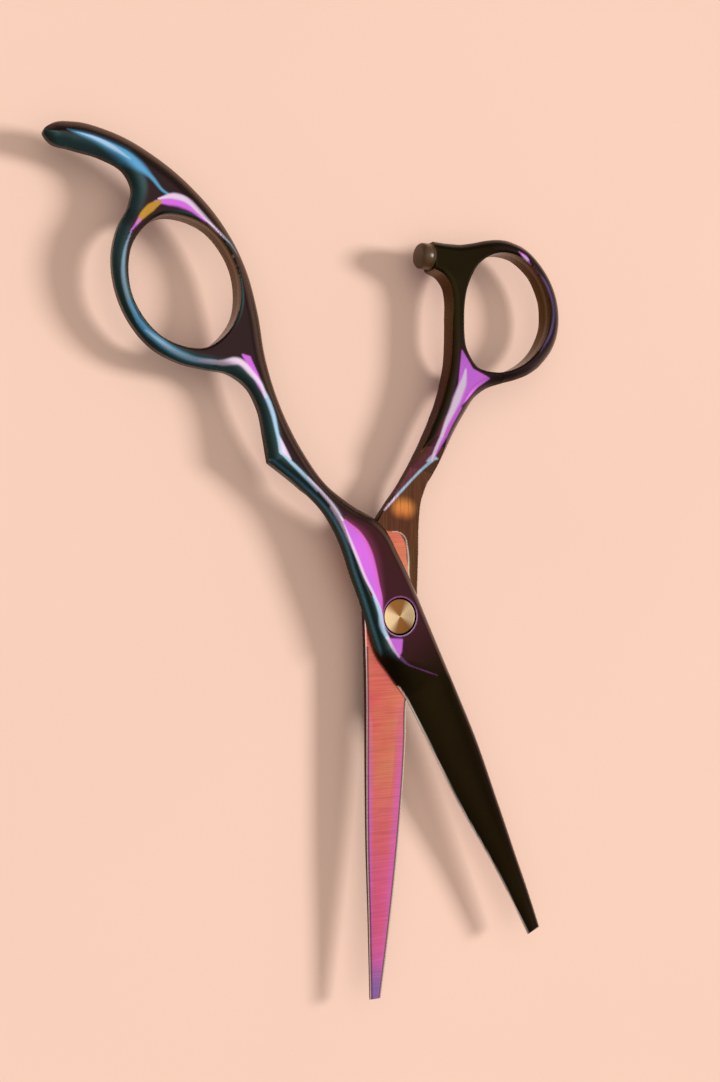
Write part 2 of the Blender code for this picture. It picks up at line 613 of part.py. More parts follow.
def main():
    clear_scene()
    coat = finish("titanium_coat", (0.12, 0.05, 0.09), 1.0, 0.22)
    gold = finish("turned_brass", (0.80, 0.58, 0.26), 1.0, 0.28)
    steel = finish("hardened_steel", (0.60, 0.60, 0.62), 1.0, 0.22)
    bronze = finish("cage_brass", (0.62, 0.42, 0.18), 1.0, 0.40)
    nylon = finish("glide_polymer", (0.85, 0.84, 0.80), 0.0, 0.45)
    silicone = finish("bumper_silicone", (0.22, 0.17, 0.09), 0.0, 0.35)
    make_finger_half(coat)
    make_thumb_half(coat)
    make_screw(gold)
    make_bearing(steel, bronze, steel)
    make_glide_washer(nylon)
    make_spring_washer(steel)
    make_nut(steel)
    make_bumper(silicone)


main()
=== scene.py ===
"""Looks of a pair of hair cutting shears: coated, polished and ground steel around a gold screw.

The two halves are height fields over their outlines. Every flank rises from the upright rim as a
rounded curve, and where two flanks meet they leave a crest. The coat's tone is worked out for each
face corner from where it lies and which way it faces: the tones that follow the facing are painted
reflections, and the bright lines along crests, facets and rims are painted highlights.
Lengths are millimetres from the pivot axis and the ride plane, unless a name or comment says
otherwise.
"""

import json
import math

import bpy
import numpy as np
from mathutils import Matrix, Vector
from mathutils.geometry import delaunay_2d_cdt


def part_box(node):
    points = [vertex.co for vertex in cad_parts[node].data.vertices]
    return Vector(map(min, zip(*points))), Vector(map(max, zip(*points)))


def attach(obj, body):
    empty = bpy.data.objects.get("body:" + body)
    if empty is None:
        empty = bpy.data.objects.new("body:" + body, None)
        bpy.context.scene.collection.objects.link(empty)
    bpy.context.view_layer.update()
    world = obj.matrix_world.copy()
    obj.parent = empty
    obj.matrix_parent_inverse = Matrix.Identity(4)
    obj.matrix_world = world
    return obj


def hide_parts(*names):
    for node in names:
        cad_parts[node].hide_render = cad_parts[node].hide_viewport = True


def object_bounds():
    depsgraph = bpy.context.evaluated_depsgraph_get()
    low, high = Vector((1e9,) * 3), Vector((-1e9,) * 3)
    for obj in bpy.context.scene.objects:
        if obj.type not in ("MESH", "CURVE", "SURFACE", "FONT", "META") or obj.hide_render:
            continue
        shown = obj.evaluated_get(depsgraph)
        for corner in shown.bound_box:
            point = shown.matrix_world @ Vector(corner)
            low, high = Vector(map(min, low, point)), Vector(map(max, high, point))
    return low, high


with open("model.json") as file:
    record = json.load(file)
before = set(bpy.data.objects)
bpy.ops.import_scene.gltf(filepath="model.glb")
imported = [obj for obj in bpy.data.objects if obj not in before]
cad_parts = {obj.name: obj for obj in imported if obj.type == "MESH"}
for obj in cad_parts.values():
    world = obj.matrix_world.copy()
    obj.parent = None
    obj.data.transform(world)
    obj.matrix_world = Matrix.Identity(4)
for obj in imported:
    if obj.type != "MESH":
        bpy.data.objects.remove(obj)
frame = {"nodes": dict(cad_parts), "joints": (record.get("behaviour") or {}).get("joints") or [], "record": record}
cad_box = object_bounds()

bl_info = {
    "name": "Hair cutting shears",
    "version": (1, 0, 0),
    "blender": (4, 5, 0),
    "location": "View3D > Sidebar > Shears",
    "description": "Builds the coated halves, the gold screw and the bumper of hair cutting shears",
    "category": "Add Mesh",
}

MM = 0.001
RIDE_HEIGHT = frame["joints"][0]["pos_m"][2]

# The gap that is left between neighbouring pieces inside the pivot
PIECE_GAP = 0.05

# Levels above (+) or below (-) the ride plane
INNER = 0.05
OUTER = (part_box("finger_half")[1].z - RIDE_HEIGHT) / MM
COUNTERBORE_FLOOR = (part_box("lower_race")[0].z - RIDE_HEIGHT) / MM - PIECE_GAP
GLIDE_FLOOR = (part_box("glide_washer")[0].z - RIDE_HEIGHT) / MM - PIECE_GAP
NUT_FLOOR = (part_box("spring_washer")[1].z - RIDE_HEIGHT) / MM + PIECE_GAP

# Radii and widths of the openings at the pivot
NECK_BORE_RADIUS = 1.85
KEY_BORE_WIDTH = 2.6
GLIDE_RECESS_RADIUS = 3.95

# How the thickness runs along a half
TAPER_FROM, TIP_REACH, TIP_THICKNESS = 18.0, 75.0, 1.3
SHANK_TAPER_FROM, SHANK_TAPER_TO, RING_DEPTH_FROM = 24.0, 40.0, 55.0
SHANK_RISE, RING_DEPTH = 2.8, 4.8
RIDE_RADIUS, RIDE_RAMP = 30.0, 0.32

# Fineness of the surfaces. The grid's row spacing and its clearance to a border are shares of its
# step
RIM_STEP = 0.1
GRID_ROW_SPACING, GRID_CLEARANCE = 0.866, 0.6
ROUND_SEGMENTS, BUMPER_SEGMENTS = 144, 96
AXIS_CIRCLE_RADIUS = 0.002
WELD_DISTANCE = 1e-7
STRIPS = 60
WALL_ROWS = 6

# In degrees: turns that make a corner of an outline, and edges that stay sharp, first on the halves
# and the bumper, then on the screw and the nut
CORNER_ANGLE, SHARP_ANGLE, SCREW_SHARP_ANGLE = 40, 40, 30

# Each run of an outline: its points, the width of the flank that rises from it (start, end),
# and how far its upright rim reaches to the outer and to the inner side (start, end)
FINGER_RUNS = {
    "edge": ([(32.7, -67.3), (25.0, -53.6), (15.0, -37.7), (7.0, -23.4), (3.0, -16.5)],
             (2.4, 8.0), (0.30, 0.30), (0.0, 0.0)),
    "edge_heel": ([(3.0, -16.5), (-0.5, -12.0), (-3.8, -7.6)],
                  (8.0, 2.8), (0.30, 0.50), (0.0, 0.0)),
    "pivot_left": ([(-3.8, -7.6), (-5.6, -2.5), (-7.3, 2.3), (-9.8, 8.5), (-12.0, 14.4)],
                   (2.8, 2.0), (0.5, 0.9), (0.0, 0.0)),
    "shank_left": ([(-12.0, 14.4), (-15.5, 20.1), (-21.2, 25.2), (-27.0, 29.3)],
                   (2.0, 3.0), (0.9, 0.9), (0.0, 0.8)),
    "ring_left": ([(-27.0, 29.3), (-27.9, 34.1), (-29.2, 39.5), (-31.5, 43.3), (-35.2, 45.5),
                   (-39.6, 46.0), (-44.8, 46.8), (-50.0, 49.1), (-54.2, 53.5), (-56.9, 59.7),
                   (-57.4, 65.5), (-56.3, 70.3), (-54.4, 74.3)],
                  (3.0, 2.8), (0.8, 0.65), (0.8, 0.65)),
    "tang": ([(-54.4, 74.3), (-53.9, 77.4), (-55.3, 80.1), (-59.7, 82.0), (-65.0, 82.7),
              (-68.6, 83.3), (-69.8, 84.9), (-68.2, 86.6), (-64.8, 87.5), (-58.2, 87.0),
              (-50.0, 84.0)],
             (2.8, 3.4), (0.65, 0.5), (0.65, 0.5)),
    "ring_right": ([(-50.0, 84.0), (-42.5, 79.1), (-36.0, 72.4), (-31.9, 65.2), (-29.6, 57.5),
                    (-28.0, 48.8), (-25.3, 40.8), (-20.4, 31.8), (-15.2, 25.4), (-9.1, 21.3)],
                   (3.4, 2.4), (0.5, 1.4), (0.5, 0.8)),
    "pivot_right": ([(-9.1, 21.3), (-5.0, 19.3), (-2.3, 17.0), (0.4, 12.5), (3.8, 6.0),
                     (6.5, 0.3), (10.5, -8.2), (13.7, -14.9)],
                    (2.4, 1.4), (1.4, 2.1), (0.0, 0.0)),
    "spine": ([(13.7, -14.9), (18.8, -25.4), (23.9, -37.6), (29.1, -50.3), (32.8, -59.3),
               (35.4, -66.1)],
              (1.4, 1.0), (2.1, 0.7), (0.0, 0.0)),
    "tip": ([(35.4, -66.1), (32.7, -67.3)],
            (1.2, 1.2), (0.5, 0.3), (0.0, 0.0)),
}
THUMB_RUNS = {
    "edge": ([(-2.6, -74.8), (-0.9, -63.5), (1.4, -45.0), (3.1, -25.0), (3.4, -17.0)],
             (2.4, 8.0), (0.30, 0.30), (0.0, 0.0)),
    "edge_heel": ([(3.4, -17.0), (4.7, -11.0), (5.6, -5.0)],
                  (8.0, 2.8), (0.30, 0.50), (0.0, 0.0)),
    "pivot_right": ([(5.6, -5.0), (5.9, 2.0), (6.3, 12.0), (6.6, 20.0)],
                    (2.8, 2.0), (0.50, 1.4), (0.0, -0.5)),
    "shank_right": ([(6.6, 20.0), (7.0, 23.0), (8.2, 26.3), (10.4, 29.8), (12.4, 33.4),
                     (14.8, 38.0), (17.1, 41.7), (19.3, 44.8), (22.0, 46.8), (25.8, 48.2)],
                    (2.4, 2.6), (1.4, 0.8), (-0.5, 0.8)),
    "ring": ([(25.8, 48.2), (29.8, 49.4), (33.9, 51.3), (37.2, 54.1), (39.7, 57.6),
              (40.8, 61.1), (40.9, 64.7), (40.1, 68.3), (38.3, 71.8), (35.7, 74.8),
              (32.8, 77.0), (29.3, 78.2), (25.8, 78.5), (22.3, 77.9), (18.8, 76.9),
              (15.3, 76.1), (12.0, 75.9), (9.0, 75.9)],
             (2.3, 1.6), (0.8, 1.2), (0.8, 1.2)),
    "spur_end": ([(9.0, 75.9), (9.0, 70.2)],
                 (0.3, 0.3), (2.3, 2.3), (2.3, 2.3)),
    "column": ([(9.0, 70.2), (11.3, 69.3), (12.9, 67.5), (13.5, 65.0), (13.5, 60.5),
                (13.4, 55.5), (13.1, 51.5), (12.2, 47.4), (10.6, 42.4), (8.8, 38.3),
                (6.8, 34.3)],
               (0.9, 1.8), (1.9, 1.6), (1.9, 1.2)),
    "shank_left": ([(6.8, 34.3), (4.4, 30.0), (2.0, 26.2), (-1.0, 22.2)],
                   (1.8, 1.8), (1.6, 1.8), (1.2, -0.5)),
    "pivot_left": ([(-1.0, 22.2), (-3.5, 18.6), (-5.0, 14.5), (-5.9, 9.0), (-6.1, 2.0),
                    (-5.9, -5.0), (-5.7, -15.0)],
                   (1.6, 2.2), (1.8, 1.2), (-0.5, 0.0)),
    "spine": ([(-5.7, -15.0), (-5.7, -30.0), (-5.6, -45.0), (-5.2, -60.0), (-4.9, -74.8)],
              (2.2, 1.6), (1.2, 0.5), (0.0, 0.0)),
    "tip": ([(-4.9, -74.8), (-2.6, -74.8)],
            (1.5, 1.5), (0.4, 0.3), (0.0, 0.0)),
}
FINGER_HOLE = [(-34.2, 65.1), (-40.0, 72.2), (-48.4, 73.1), (-54.1, 67.2), (-54.2, 57.9),
               (-48.3, 50.8), (-40.0, 49.8), (-34.2, 55.8)]
THUMB_HOLE = [(16.0, 60.5), (16.7, 54.4), (19.2, 51.1), (24.0, 50.3), (30.0, 52.0), (35.0, 56.0),
              (37.7, 61.5), (37.6, 66.8), (34.9, 72.1), (30.0, 75.3), (24.5, 75.4), (19.6, 72.4),
              (16.9, 67.4)]
HOLE_FLANK, HOLE_RIM = 0.6, 2.0

# The level facet that is ground into the left of the finger half's pivot face
FACET_BORDER = [(-11.6, 19.6), (-8.6, 16.6), (-6.4, 12.0), (-4.5, 6.0), (-4.1, 1.0), (-4.4, -4.0)]
FACET_SIDE = [(-12.0, -4.0), (-16.0, 19.6)]
FACET_SLOPE = 0.16

# The hollow grinding of the inner blade faces: it ends at the ride face and at the honed strip
FINGER_RIDE_CURVE = [(-14.0, 9.0), (-8.0, 16.5), (-3.0, 15.5), (-4.2, 10.0), (-5.5, 2.0),
                     (-3.0, -8.0)]
THUMB_RIDE_CURVE = [(-8.0, 17.4), (-0.3, 17.0), (1.5, 16.8), (2.7, 15.6), (3.4, 14.0), (3.6, 11.5),
                    (4.2, 8.5), (5.3, 2.0), (5.9, -6.0)]
FINGER_HOLLOW_SIDE = [(40.0, -80.0), (-14.0, -80.0)]
THUMB_HOLLOW_SIDE = [(8.0, -80.0), (-9.0, -80.0)]
HONED_STRIP, HOLLOW_DEPTH, HOLLOW_WIDTH = 0.4, 0.10, 3.0

# The turned pieces. An edge or a groove lists points: how far in from the rim, and how far below
# the head's face or before the bumper's seat on the spur
SCREW_HEAD_THICKNESS, SCREW_NECK_RADIUS = 0.85, 1.8
SCREW_KEY_RADIUS, SCREW_THREAD_RADIUS, SCREW_END_CHAMFER = 1.25, 1.2, 0.1
SCREW_HEAD_EDGE = [(0.0, 0.22), (0.04, 0.10), (0.12, 0.03), (0.22, 0.0)]
NUT_BORE_RADIUS, NUT_CHAMFER = 1.25, 0.12
# a notch reaches inwards from the nut's rim
NUT_NOTCH_REACH, NUT_NOTCH_DEPTH, NUT_NOTCH_WIDTH = 1.3, 0.55, 1.1
# the plug is hidden in the spur, behind the seat
BUMPER_PLUG, BUMPER_ROUND_EDGE = 2.65, 0.8
BUMPER_GROOVE = [(0.0, 0.9), (0.12, 0.65), (0.12, 0.5), (0.0, 0.3)]

# The stage, in metres: the camera's two places are from the pivot axis and the ride plane
FLOOR_HALF_WIDTH, FLOOR_GAP = 2.0, 0.002
SKY_MIDDLE, RIM_LIGHT_MIDDLE = (-0.18, 0.05, 1.0), (1.0, 0.1, 0.22)
KEY_PLACE, KEY_DIAMETER, KEY_POWER = (7.6, 0.8, 4.96), 2.08, 800.0
CAMERA_PLACE, CAMERA_AIM = (-0.119407, 0.008288, 0.207647), (-0.007226, 0.014828, 0.0)
FILM_HEIGHT, FOCAL_LENGTH = 36.0, 40.0

# Marks laid on the coat, most of them painted highlights and reflections: tone, strength, line, and
# the widths along a stroke with the share of them that is its even core, or how soft the border of a
# patch is
FACET_CREASE = [(-15.1, 21.2), (-13.0, 18.2), (-11.0, 14.5), (-9.5, 11.4), (-7.9, 7.8),
                (-5.9, 4.1), (-4.5, 0.8), (-3.9, -2.0), (-2.8, -4.1), (-1.3, -6.6), (0.0, -8.0)]
FACET_FAR_BORDER = [(-4.1, 0.8), (-4.1, 3.5), (-4.8, 6.4), (-5.5, 9.6), (-6.6, 13.0),
                    (-8.9, 16.3), (-12.2, 18.7)]
FACET_LIT_CREASE = [(x + 0.25, y) for x, y in FACET_CREASE[:8]]
FINGER_PAINTED_HIGHLIGHTS = [
    # painted highlight on the crease of the facet beside the screw
    ("lilac", 0.9, FACET_LIT_CREASE, (0.35, 0.45, 0.4, 0.35, 0.25)),
    ("ice_blue", 0.9, FACET_CREASE[5:9], (0.2, 0.5, 0.6, 0.5)),
    ("lilac", 0.7, FACET_CREASE[8:], (0.45, 0.45, 0.2)),
    # painted highlight on the crest of the shank
    ("lilac", 1.0, [(-26.0, 34.4), (-25.6, 31.2), (-23.6, 29.9)], 0.3),
    ("ice_blue", 1.0, [(-30.4, 44.5), (-28.5, 41.8), (-27.1, 38.6), (-26.3, 35.3), (-25.7, 32.5),
                       (-25.5, 31.1)], (0.25, 0.5, 0.5, 0.4, 0.3)),
    ("ice_blue", 1.0, [(-25.5, 31.1), (-23.7, 29.6), (-21.6, 27.8), (-19.5, 25.9), (-17.8, 24.2)],
     (0.3, 0.45, 0.45, 0.3)),
    ("lilac", 1.0, [(-20.0, 26.7), (-17.1, 23.9), (-14.7, 21.4), (-12.7, 18.7)],
     (0.15, 0.35, 0.4, 0.4)),
    # ring, in painted highlights: faint inner line, blue crest, violet wedge and lilac junction above the shank
    ("ice_blue", 0.5, [(-54.4, 69.5), (-55.6, 65.9), (-55.9, 61.5), (-54.8, 56.9), (-53.0, 53.3)],
     (0.1, 0.35, 0.45, 0.45, 0.4)),
    ("sky", 1.0, [(-54.8, 57.0), (-52.9, 53.4), (-51.6, 51.9), (-49.5, 50.3), (-46.7, 48.7),
                  (-43.0, 47.5), (-39.0, 47.1)], (0.2, 0.6, 0.85, 0.8, 0.6)),
    ("ice_blue", 1.0, [(-51.7, 51.9), (-49.6, 50.4), (-46.7, 48.7), (-43.0, 47.5), (-38.4, 47.2)],
     (0.15, 0.45, 0.5, 0.55)),
    ("violet", 1.0, [(-33.2, 48.9), (-31.8, 48.6), (-30.2, 45.4), (-28.7, 42.0), (-30.6, 44.7)],
     0.35),
    ("lilac", 1.0, [(-41.5, 47.3), (-37.1, 47.2), (-33.8, 47.6), (-31.5, 45.8), (-29.5, 43.7),
                    (-28.4, 41.4)], (0.2, 0.5, 0.95, 0.75, 0.5, 0.3)),
    # tang, and the branch between the tang and the ring: painted highlights, and a gold patch
    ("sky", 1.0, [(-66.0, 85.4), (-64.5, 85.2), (-61.1, 84.6), (-57.9, 83.5), (-54.7, 82.0),
                  (-52.4, 80.5), (-50.6, 79.0), (-48.8, 77.2), (-46.9, 76.4)],
     (0.2, 0.8, 1.1, 1.5, 1.9, 1.4, 0.7, 0.45, 0.3), 0.10),
    ("ice_blue", 0.9, [(-64.5, 85.2), (-61.1, 84.6), (-57.9, 83.5), (-54.7, 82.0)],
     (0.1, 0.45, 0.5, 0.1)),
    ("violet", 1.0, [(-50.2, 75.0), (-48.4, 75.3), (-45.2, 75.4), (-43.0, 74.6), (-40.6, 72.8)],
     (0.3, 1.0, 1.2, 0.8, 0.3)),
    ("lilac", 1.0, [(-49.6, 75.6), (-46.8, 76.5), (-44.1, 76.1), (-41.9, 74.5), (-38.8, 71.9),
                    (-35.8, 69.7)], (0.2, 0.8, 0.8, 0.6, 0.45, 0.3)),
    ("sky", 0.8, [(-37.5, 71.0), (-35.4, 69.4), (-33.6, 67.4)], (0.1, 0.35, 0.1)),
    ("gold", 1.0, [(-53.7, 70.4), (-52.5, 72.2), (-50.9, 73.9), (-49.4, 75.1)],
     (0.15, 0.7, 0.9, 0.5), 0.6),
    ("violet", 0.7, [(-54.7, 69.0), (-53.1, 71.3)], (0.1, 0.5)),
]
THUMB_CREST = [(-1.6, 21.1), (1.2, 24.0), (4.6, 27.3), (9.0, 31.4)]
THUMB_SHANK_PAINTED_HIGHLIGHTS = [
    # painted highlights: a bright patch on the ride face, and the crest from there up to the ring
    ("glow", 1.0, [(1.9, 21.7), (3.5, 21.5)], (2.8, 2.8), 0.05),
    ("wine", 0.5, [(-1.6, 22.2), (3.8, 28.0), (8.4, 33.0), (11.5, 40.0)],
     (0.6, 1.2, 1.6, 1.4, 0.8), 0.1),
    ("ice_blue", 0.95, THUMB_CREST, (0.2, 0.4, 0.35, 0.5)),
    ("lilac", 0.8, THUMB_CREST[:2], (0.2, 0.4)),
    ("ice_blue", 1.0, [(7.9, 31.2), (9.0, 31.8), (10.1, 31.7)], (0.3, 0.9, 0.2)),
    ("violet", 1.0, [(8.9, 31.7), (10.2, 34.8), (12.0, 38.5), (14.2, 42.4)], (0.6, 0.8, 0.9, 1.2)),
    ("violet", 1.0, [(15.2, 54.0), (17.8, 50.4), (22.0, 48.8), (19.1, 46.9), (16.4, 44.1),
                     (13.7, 41.7), (13.0, 43.1), (14.4, 46.9)], 0.3),
    ("lilac", 1.0, [(8.9, 31.6), (9.7, 34.6), (11.1, 38.3), (13.1, 42.2), (14.4, 45.0),
                    (15.6, 47.8), (16.1, 50.2)], (0.5, 0.5, 0.6, 0.9, 1.3, 1.2, 0.3)),
]
THUMB_RING_MARKS = [
    # near-black over the spur, and painted highlights: a violet glint and a thin violet line
    ("olive", 0.9, [(12.0, 73.0), (20.0, 75.0)], (5.5, 5.5), 0.5),
    ("violet", 1.0, [(29.4, 76.3), (31.1, 75.3), (32.8, 73.8)], (0.1, 0.7, 0.1)),
    ("lilac", 1.0, [(30.4, 75.7), (31.8, 74.7)], (0.1, 0.4)),
    ("iris", 0.3, [(33.5, 73.7), (37.1, 69.6), (38.7, 64.8), (37.9, 60.1), (34.9, 55.3)],
     (0.1, 0.4, 0.5, 0.4, 0.1)),
]
THUMB_HOLLOW_END = [(0.2, 16.85), (0.9, 16.85), (1.9, 16.6), (3.0, 15.8), (3.6, 13.7),
                    (3.9, 10.9), (3.9, 8.4), (4.6, 4.0)]


# --- Sizes and colours a user would change -----------------------------------------------------


def linear(code):
    """An sRGB hex colour as linear red, green and blue."""
    parts = np.array([int(code[i:i + 2], 16) for i in (1, 3, 5)]) / 255
    return np.where(parts <= 0.04045, parts / 12.92, ((parts + 0.055) / 1.055) ** 2.4)


def tone(name, code, description):
    return bpy.props.FloatVectorProperty(name=name, description=description, subtype="COLOR",
                                         size=3, min=0.0, max=1.0, default=tuple(linear(code)))


def length(name, millimetres, description):
    return bpy.props.FloatProperty(name=name, description=description, unit="LENGTH",
                                   default=millimetres * MM, min=0.0)


class ShearsSizes(bpy.types.PropertyGroup):
    surface_step: length("Surface step", 0.20, "Distance between points on the two halves")
    recess_diameter: length("Screw recess", 7.52, "Diameter of the recess around the screw head")
    nut_recess_diameter: length("Nut recess", 8.6, "Diameter of the recess around the nut")
    edge_band: length("Cutting edge band", 0.32, "Width of the bright line at a cutting edge")
    # real grinding lines lie some 0.03 mm apart: they are drawn coarser so that they show
    grinding_pitch: length("Grinding pitch", 0.24, "Distance between lines on the ground faces")


class ShearsTones(bpy.types.PropertyGroup):
    brown_black: tone("Brown-black", "#241b0d", "Outer blade face")
    spine_grey: tone("Spine grey", "#35271c", "Outer blade face at the spine")
    maroon: tone("Maroon", "#4d2a30", "Face around the screw")
    plum: tone("Plum", "#3a2b2c", "Level faces of the handles")
    # Umber on flanks that turn right, and teal and green on flanks that turn left, are painted reflections laid by
    # which way a face turns.
    umber: tone("Umber", "#4f3c30", "Flanks that turn right")
    teal: tone("Teal", "#3f5a5c", "Flanks that turn left")
    green: tone("Green", "#2b3a33", "Steep flanks that turn left")
    # Olive and russet are also laid as painted reflections on the thumb half's flanks and walls that turn left.
    olive: tone("Olive", "#2a2312", "Spur and the top of the thumb ring")
    amber: tone("Amber", "#523a18", "Walls inside the rings and beside the column")
    russet: tone("Russet", "#4a251b", "Outer wall of the thumb shank")
    copper: tone("Copper", "#6b4631", "Lapped ride face")
    # Glow is a painted highlight: the bright patch where the ride face reflects the light.
    glow: tone("Glow", "#f09c50", "Bright patch on the lapped ride face")
    orange_red: tone("Orange-red", "#f08470", "Inner blade face towards the pivot")
    rose: tone("Rose", "#f06a98", "Inner blade face towards the tip")
    magenta: tone("Magenta", "#e676cc", "Inner blade face beside the honed strip")
    wine: tone("Wine", "#853e5c", "Inner blade face at the spine")
    iris: tone("Iris", "#8f78c4", "Tip of the inner blade face")
    # Violet is the coat's hue on facets and glints, painted brighter there as a reflection; lilac, ice blue and
    # sky are painted highlights.
    violet: tone("Violet", "#e47afa", "Facets")
    lilac: tone("Lilac", "#f4e0ff", "Bright middle of crests and facets")
    ice_blue: tone("Ice blue", "#b4dcfb", "Crests of the shanks")
    sky: tone("Sky blue", "#62b0de", "Crests of the finger ring and the tang")
    gold: tone("Gold", "#c9973f", "Patch between the tang and the ring")
    # Steel is bare steel at the cutting edges, with a painted highlight there too; its lines on the rims, the
    # spines, the hole walls and the hollow's end are painted highlights.
    steel: tone("Steel", "#f2e2d6", "Bare steel at the sharpened edges and worn rims")


# --- Curves and fields -------------------------------------------------------------------------


def smooth_line(knots, step, before=None, after=None):
    """A smooth curve through the knots: between two of them, a cubic that leaves and arrives along
    directions shared with its neighbours. Points are about one step apart, the last left out."""
    knots = np.asarray(knots, float)
    before = 2 * knots[0] - knots[1] if before is None else before
    after = 2 * knots[-1] - knots[-2] if after is None else after
    ends = np.vstack((before, knots, after))
    line = []
    for a, b, c, d in zip(ends[:-3], ends[1:-2], ends[2:-1], ends[3:]):
        span = math.dist(b, c)
        count = max(1, round(span / step))
        t = (np.arange(count) / count)[:, None]
        line.append((2 * t**3 - 3 * t**2 + 1) * b + (t**3 - 2 * t**2 + t) * span * heading(a, b, c)
                    + (3 * t**2 - 2 * t**3) * c + (t**3 - t**2) * span * heading(b, c, d))
    return np.vstack(line)


def smooth_loop(knots, step):
    """A smooth closed curve through the knots."""
    return smooth_line([*knots, knots[0]], step, knots[-1], knots[1])


def heading(before, here, after):
    """The direction of the curve at a knot, shared between its two spans by their lengths."""
    back, ahead = math.dist(before, here), math.dist(here, after)
    return ((here - before) / back * ahead + (after - here) / ahead * back) / (back + ahead)


def gentle(before, here, after):
    """Whether a border turns by less than a corner's angle at a point."""
    back, ahead = np.subtract(here, before), np.subtract(after, here)
    limit = math.cos(math.radians(CORNER_ANGLE))
    return back @ ahead > limit * np.hypot(*back) * np.hypot(*ahead)


def outline(runs, step):
    """Points along the runs, and at each its flank width, outer rim and inner rim. A run shares its
    end directions with its neighbours unless they meet in a corner."""
    points, values = [], []
    runs = list(runs.values())
    for last, (knots, *pairs), following in zip(runs[-1:] + runs, runs, runs[1:] + runs[:1]):
        before, after = last[0][-2], following[0][1]
        line = smooth_line(knots, step, before if gentle(before, knots[0], knots[1]) else None,
                           after if gentle(knots[-2], knots[-1], after) else None)
        share = (np.arange(len(line)) / len(line))[:, None]
        pairs = np.array(pairs)
        points.append(line)
        values.append(pairs[:, 0] + share * (pairs[:, 1] - pairs[:, 0]))
    return np.vstack(points), np.vstack(values)


def polyline(knots, step=RIM_STEP):
    """The smooth curve through the knots, with its last point."""
    return np.vstack((smooth_line(knots, step), np.asarray(knots[-1:], float)))


def in_strips(points, reach, others, measure):
    """Calls measure(part of the points, the others within reach of them in Y) strip by strip."""
    result = np.full(len(points), np.inf)
    for part in np.array_split(np.argsort(points[:, 1]), STRIPS):
        if len(part) == 0:
            continue
        low, high = points[part, 1].min() - reach, points[part, 1].max() + reach
        near = np.flatnonzero((others[:, 1] > low) & (others[:, 1] < high))
        if len(near):
            result[part] = measure(part, near)
    return result


def distance(points, line, reach=12.0):
    """How far each point lies from the nearest point of a line, up to the reach."""
    def measure(part, near):
        away = points[part, None] - line[None, near]
        return np.hypot(away[..., 0], away[..., 1]).min(axis=1)
    return np.minimum(in_strips(points, reach, line, measure), reach)


def envelope(points, rim_points, widths, rims, cap):
    """The lowest of the flanks that rise from every rim point. At a share s of its width a flank
    has risen from the rim towards the cap by 1 - (1 - s) squared."""
    def measure(part, near):
        away = points[part, None] - rim_points[None, near]
        share = np.clip(np.hypot(away[..., 0], away[..., 1]) / widths[near], 0, 1)
        rise = 1 - (1 - share) ** 2
        return (rims[near] + (cap[part, None] - rims[near]) * rise).min(axis=1)
    return np.minimum(in_strips(points, widths.max(), rim_points, measure), cap)


def inside(points, loop):
    """Whether each point has an odd number of the loop's edges to its right."""
    odd = np.zeros(len(points), bool)
    x, y = points[:, 0], points[:, 1]
    for (ax, ay), (bx, by) in zip(loop, np.roll(loop, -1, axis=0)):
        if ay != by:
            odd ^= ((ay > y) != (by > y)) & (x < (bx - ax) * (y - ay) / (by - ay) + ax)
    return odd


def smoothstep(value, low, high):
    """0 up to low, 1 from high on, and a soft rise between them."""
    share = np.clip((value - low) / (high - low), 0, 1)
    return share * share * (3 - 2 * share)


def outer_cap(points):
    """How high the outer side may rise: the plate, thinner to the tip and along the shank."""
    reach = np.hypot(points[:, 0], points[:, 1])
    plate = OUTER - INNER
    blade = np.interp(reach, (TAPER_FROM, TIP_REACH), (plate, TIP_THICKNESS))
    handle = np.interp(reach, (SHANK_TAPER_FROM, SHANK_TAPER_TO, RING_DEPTH_FROM),
                       (plate, SHANK_RISE, RING_DEPTH / 2))
    return np.where(points[:, 1] < 0, blade, handle) + INNER


def inner_cap(points):
    """How far the inner side may reach past the ride plane: nothing at the ride, then a ramp."""
    reach = np.hypot(points[:, 0], points[:, 1])
    ramp = np.where(points[:, 1] < 0, 0.0, (reach - RIDE_RADIUS) * RIDE_RAMP)
    return np.clip(ramp - INNER, -INNER, RING_DEPTH / 2)


# --- The two halves ----------------------------------------------------------------------------


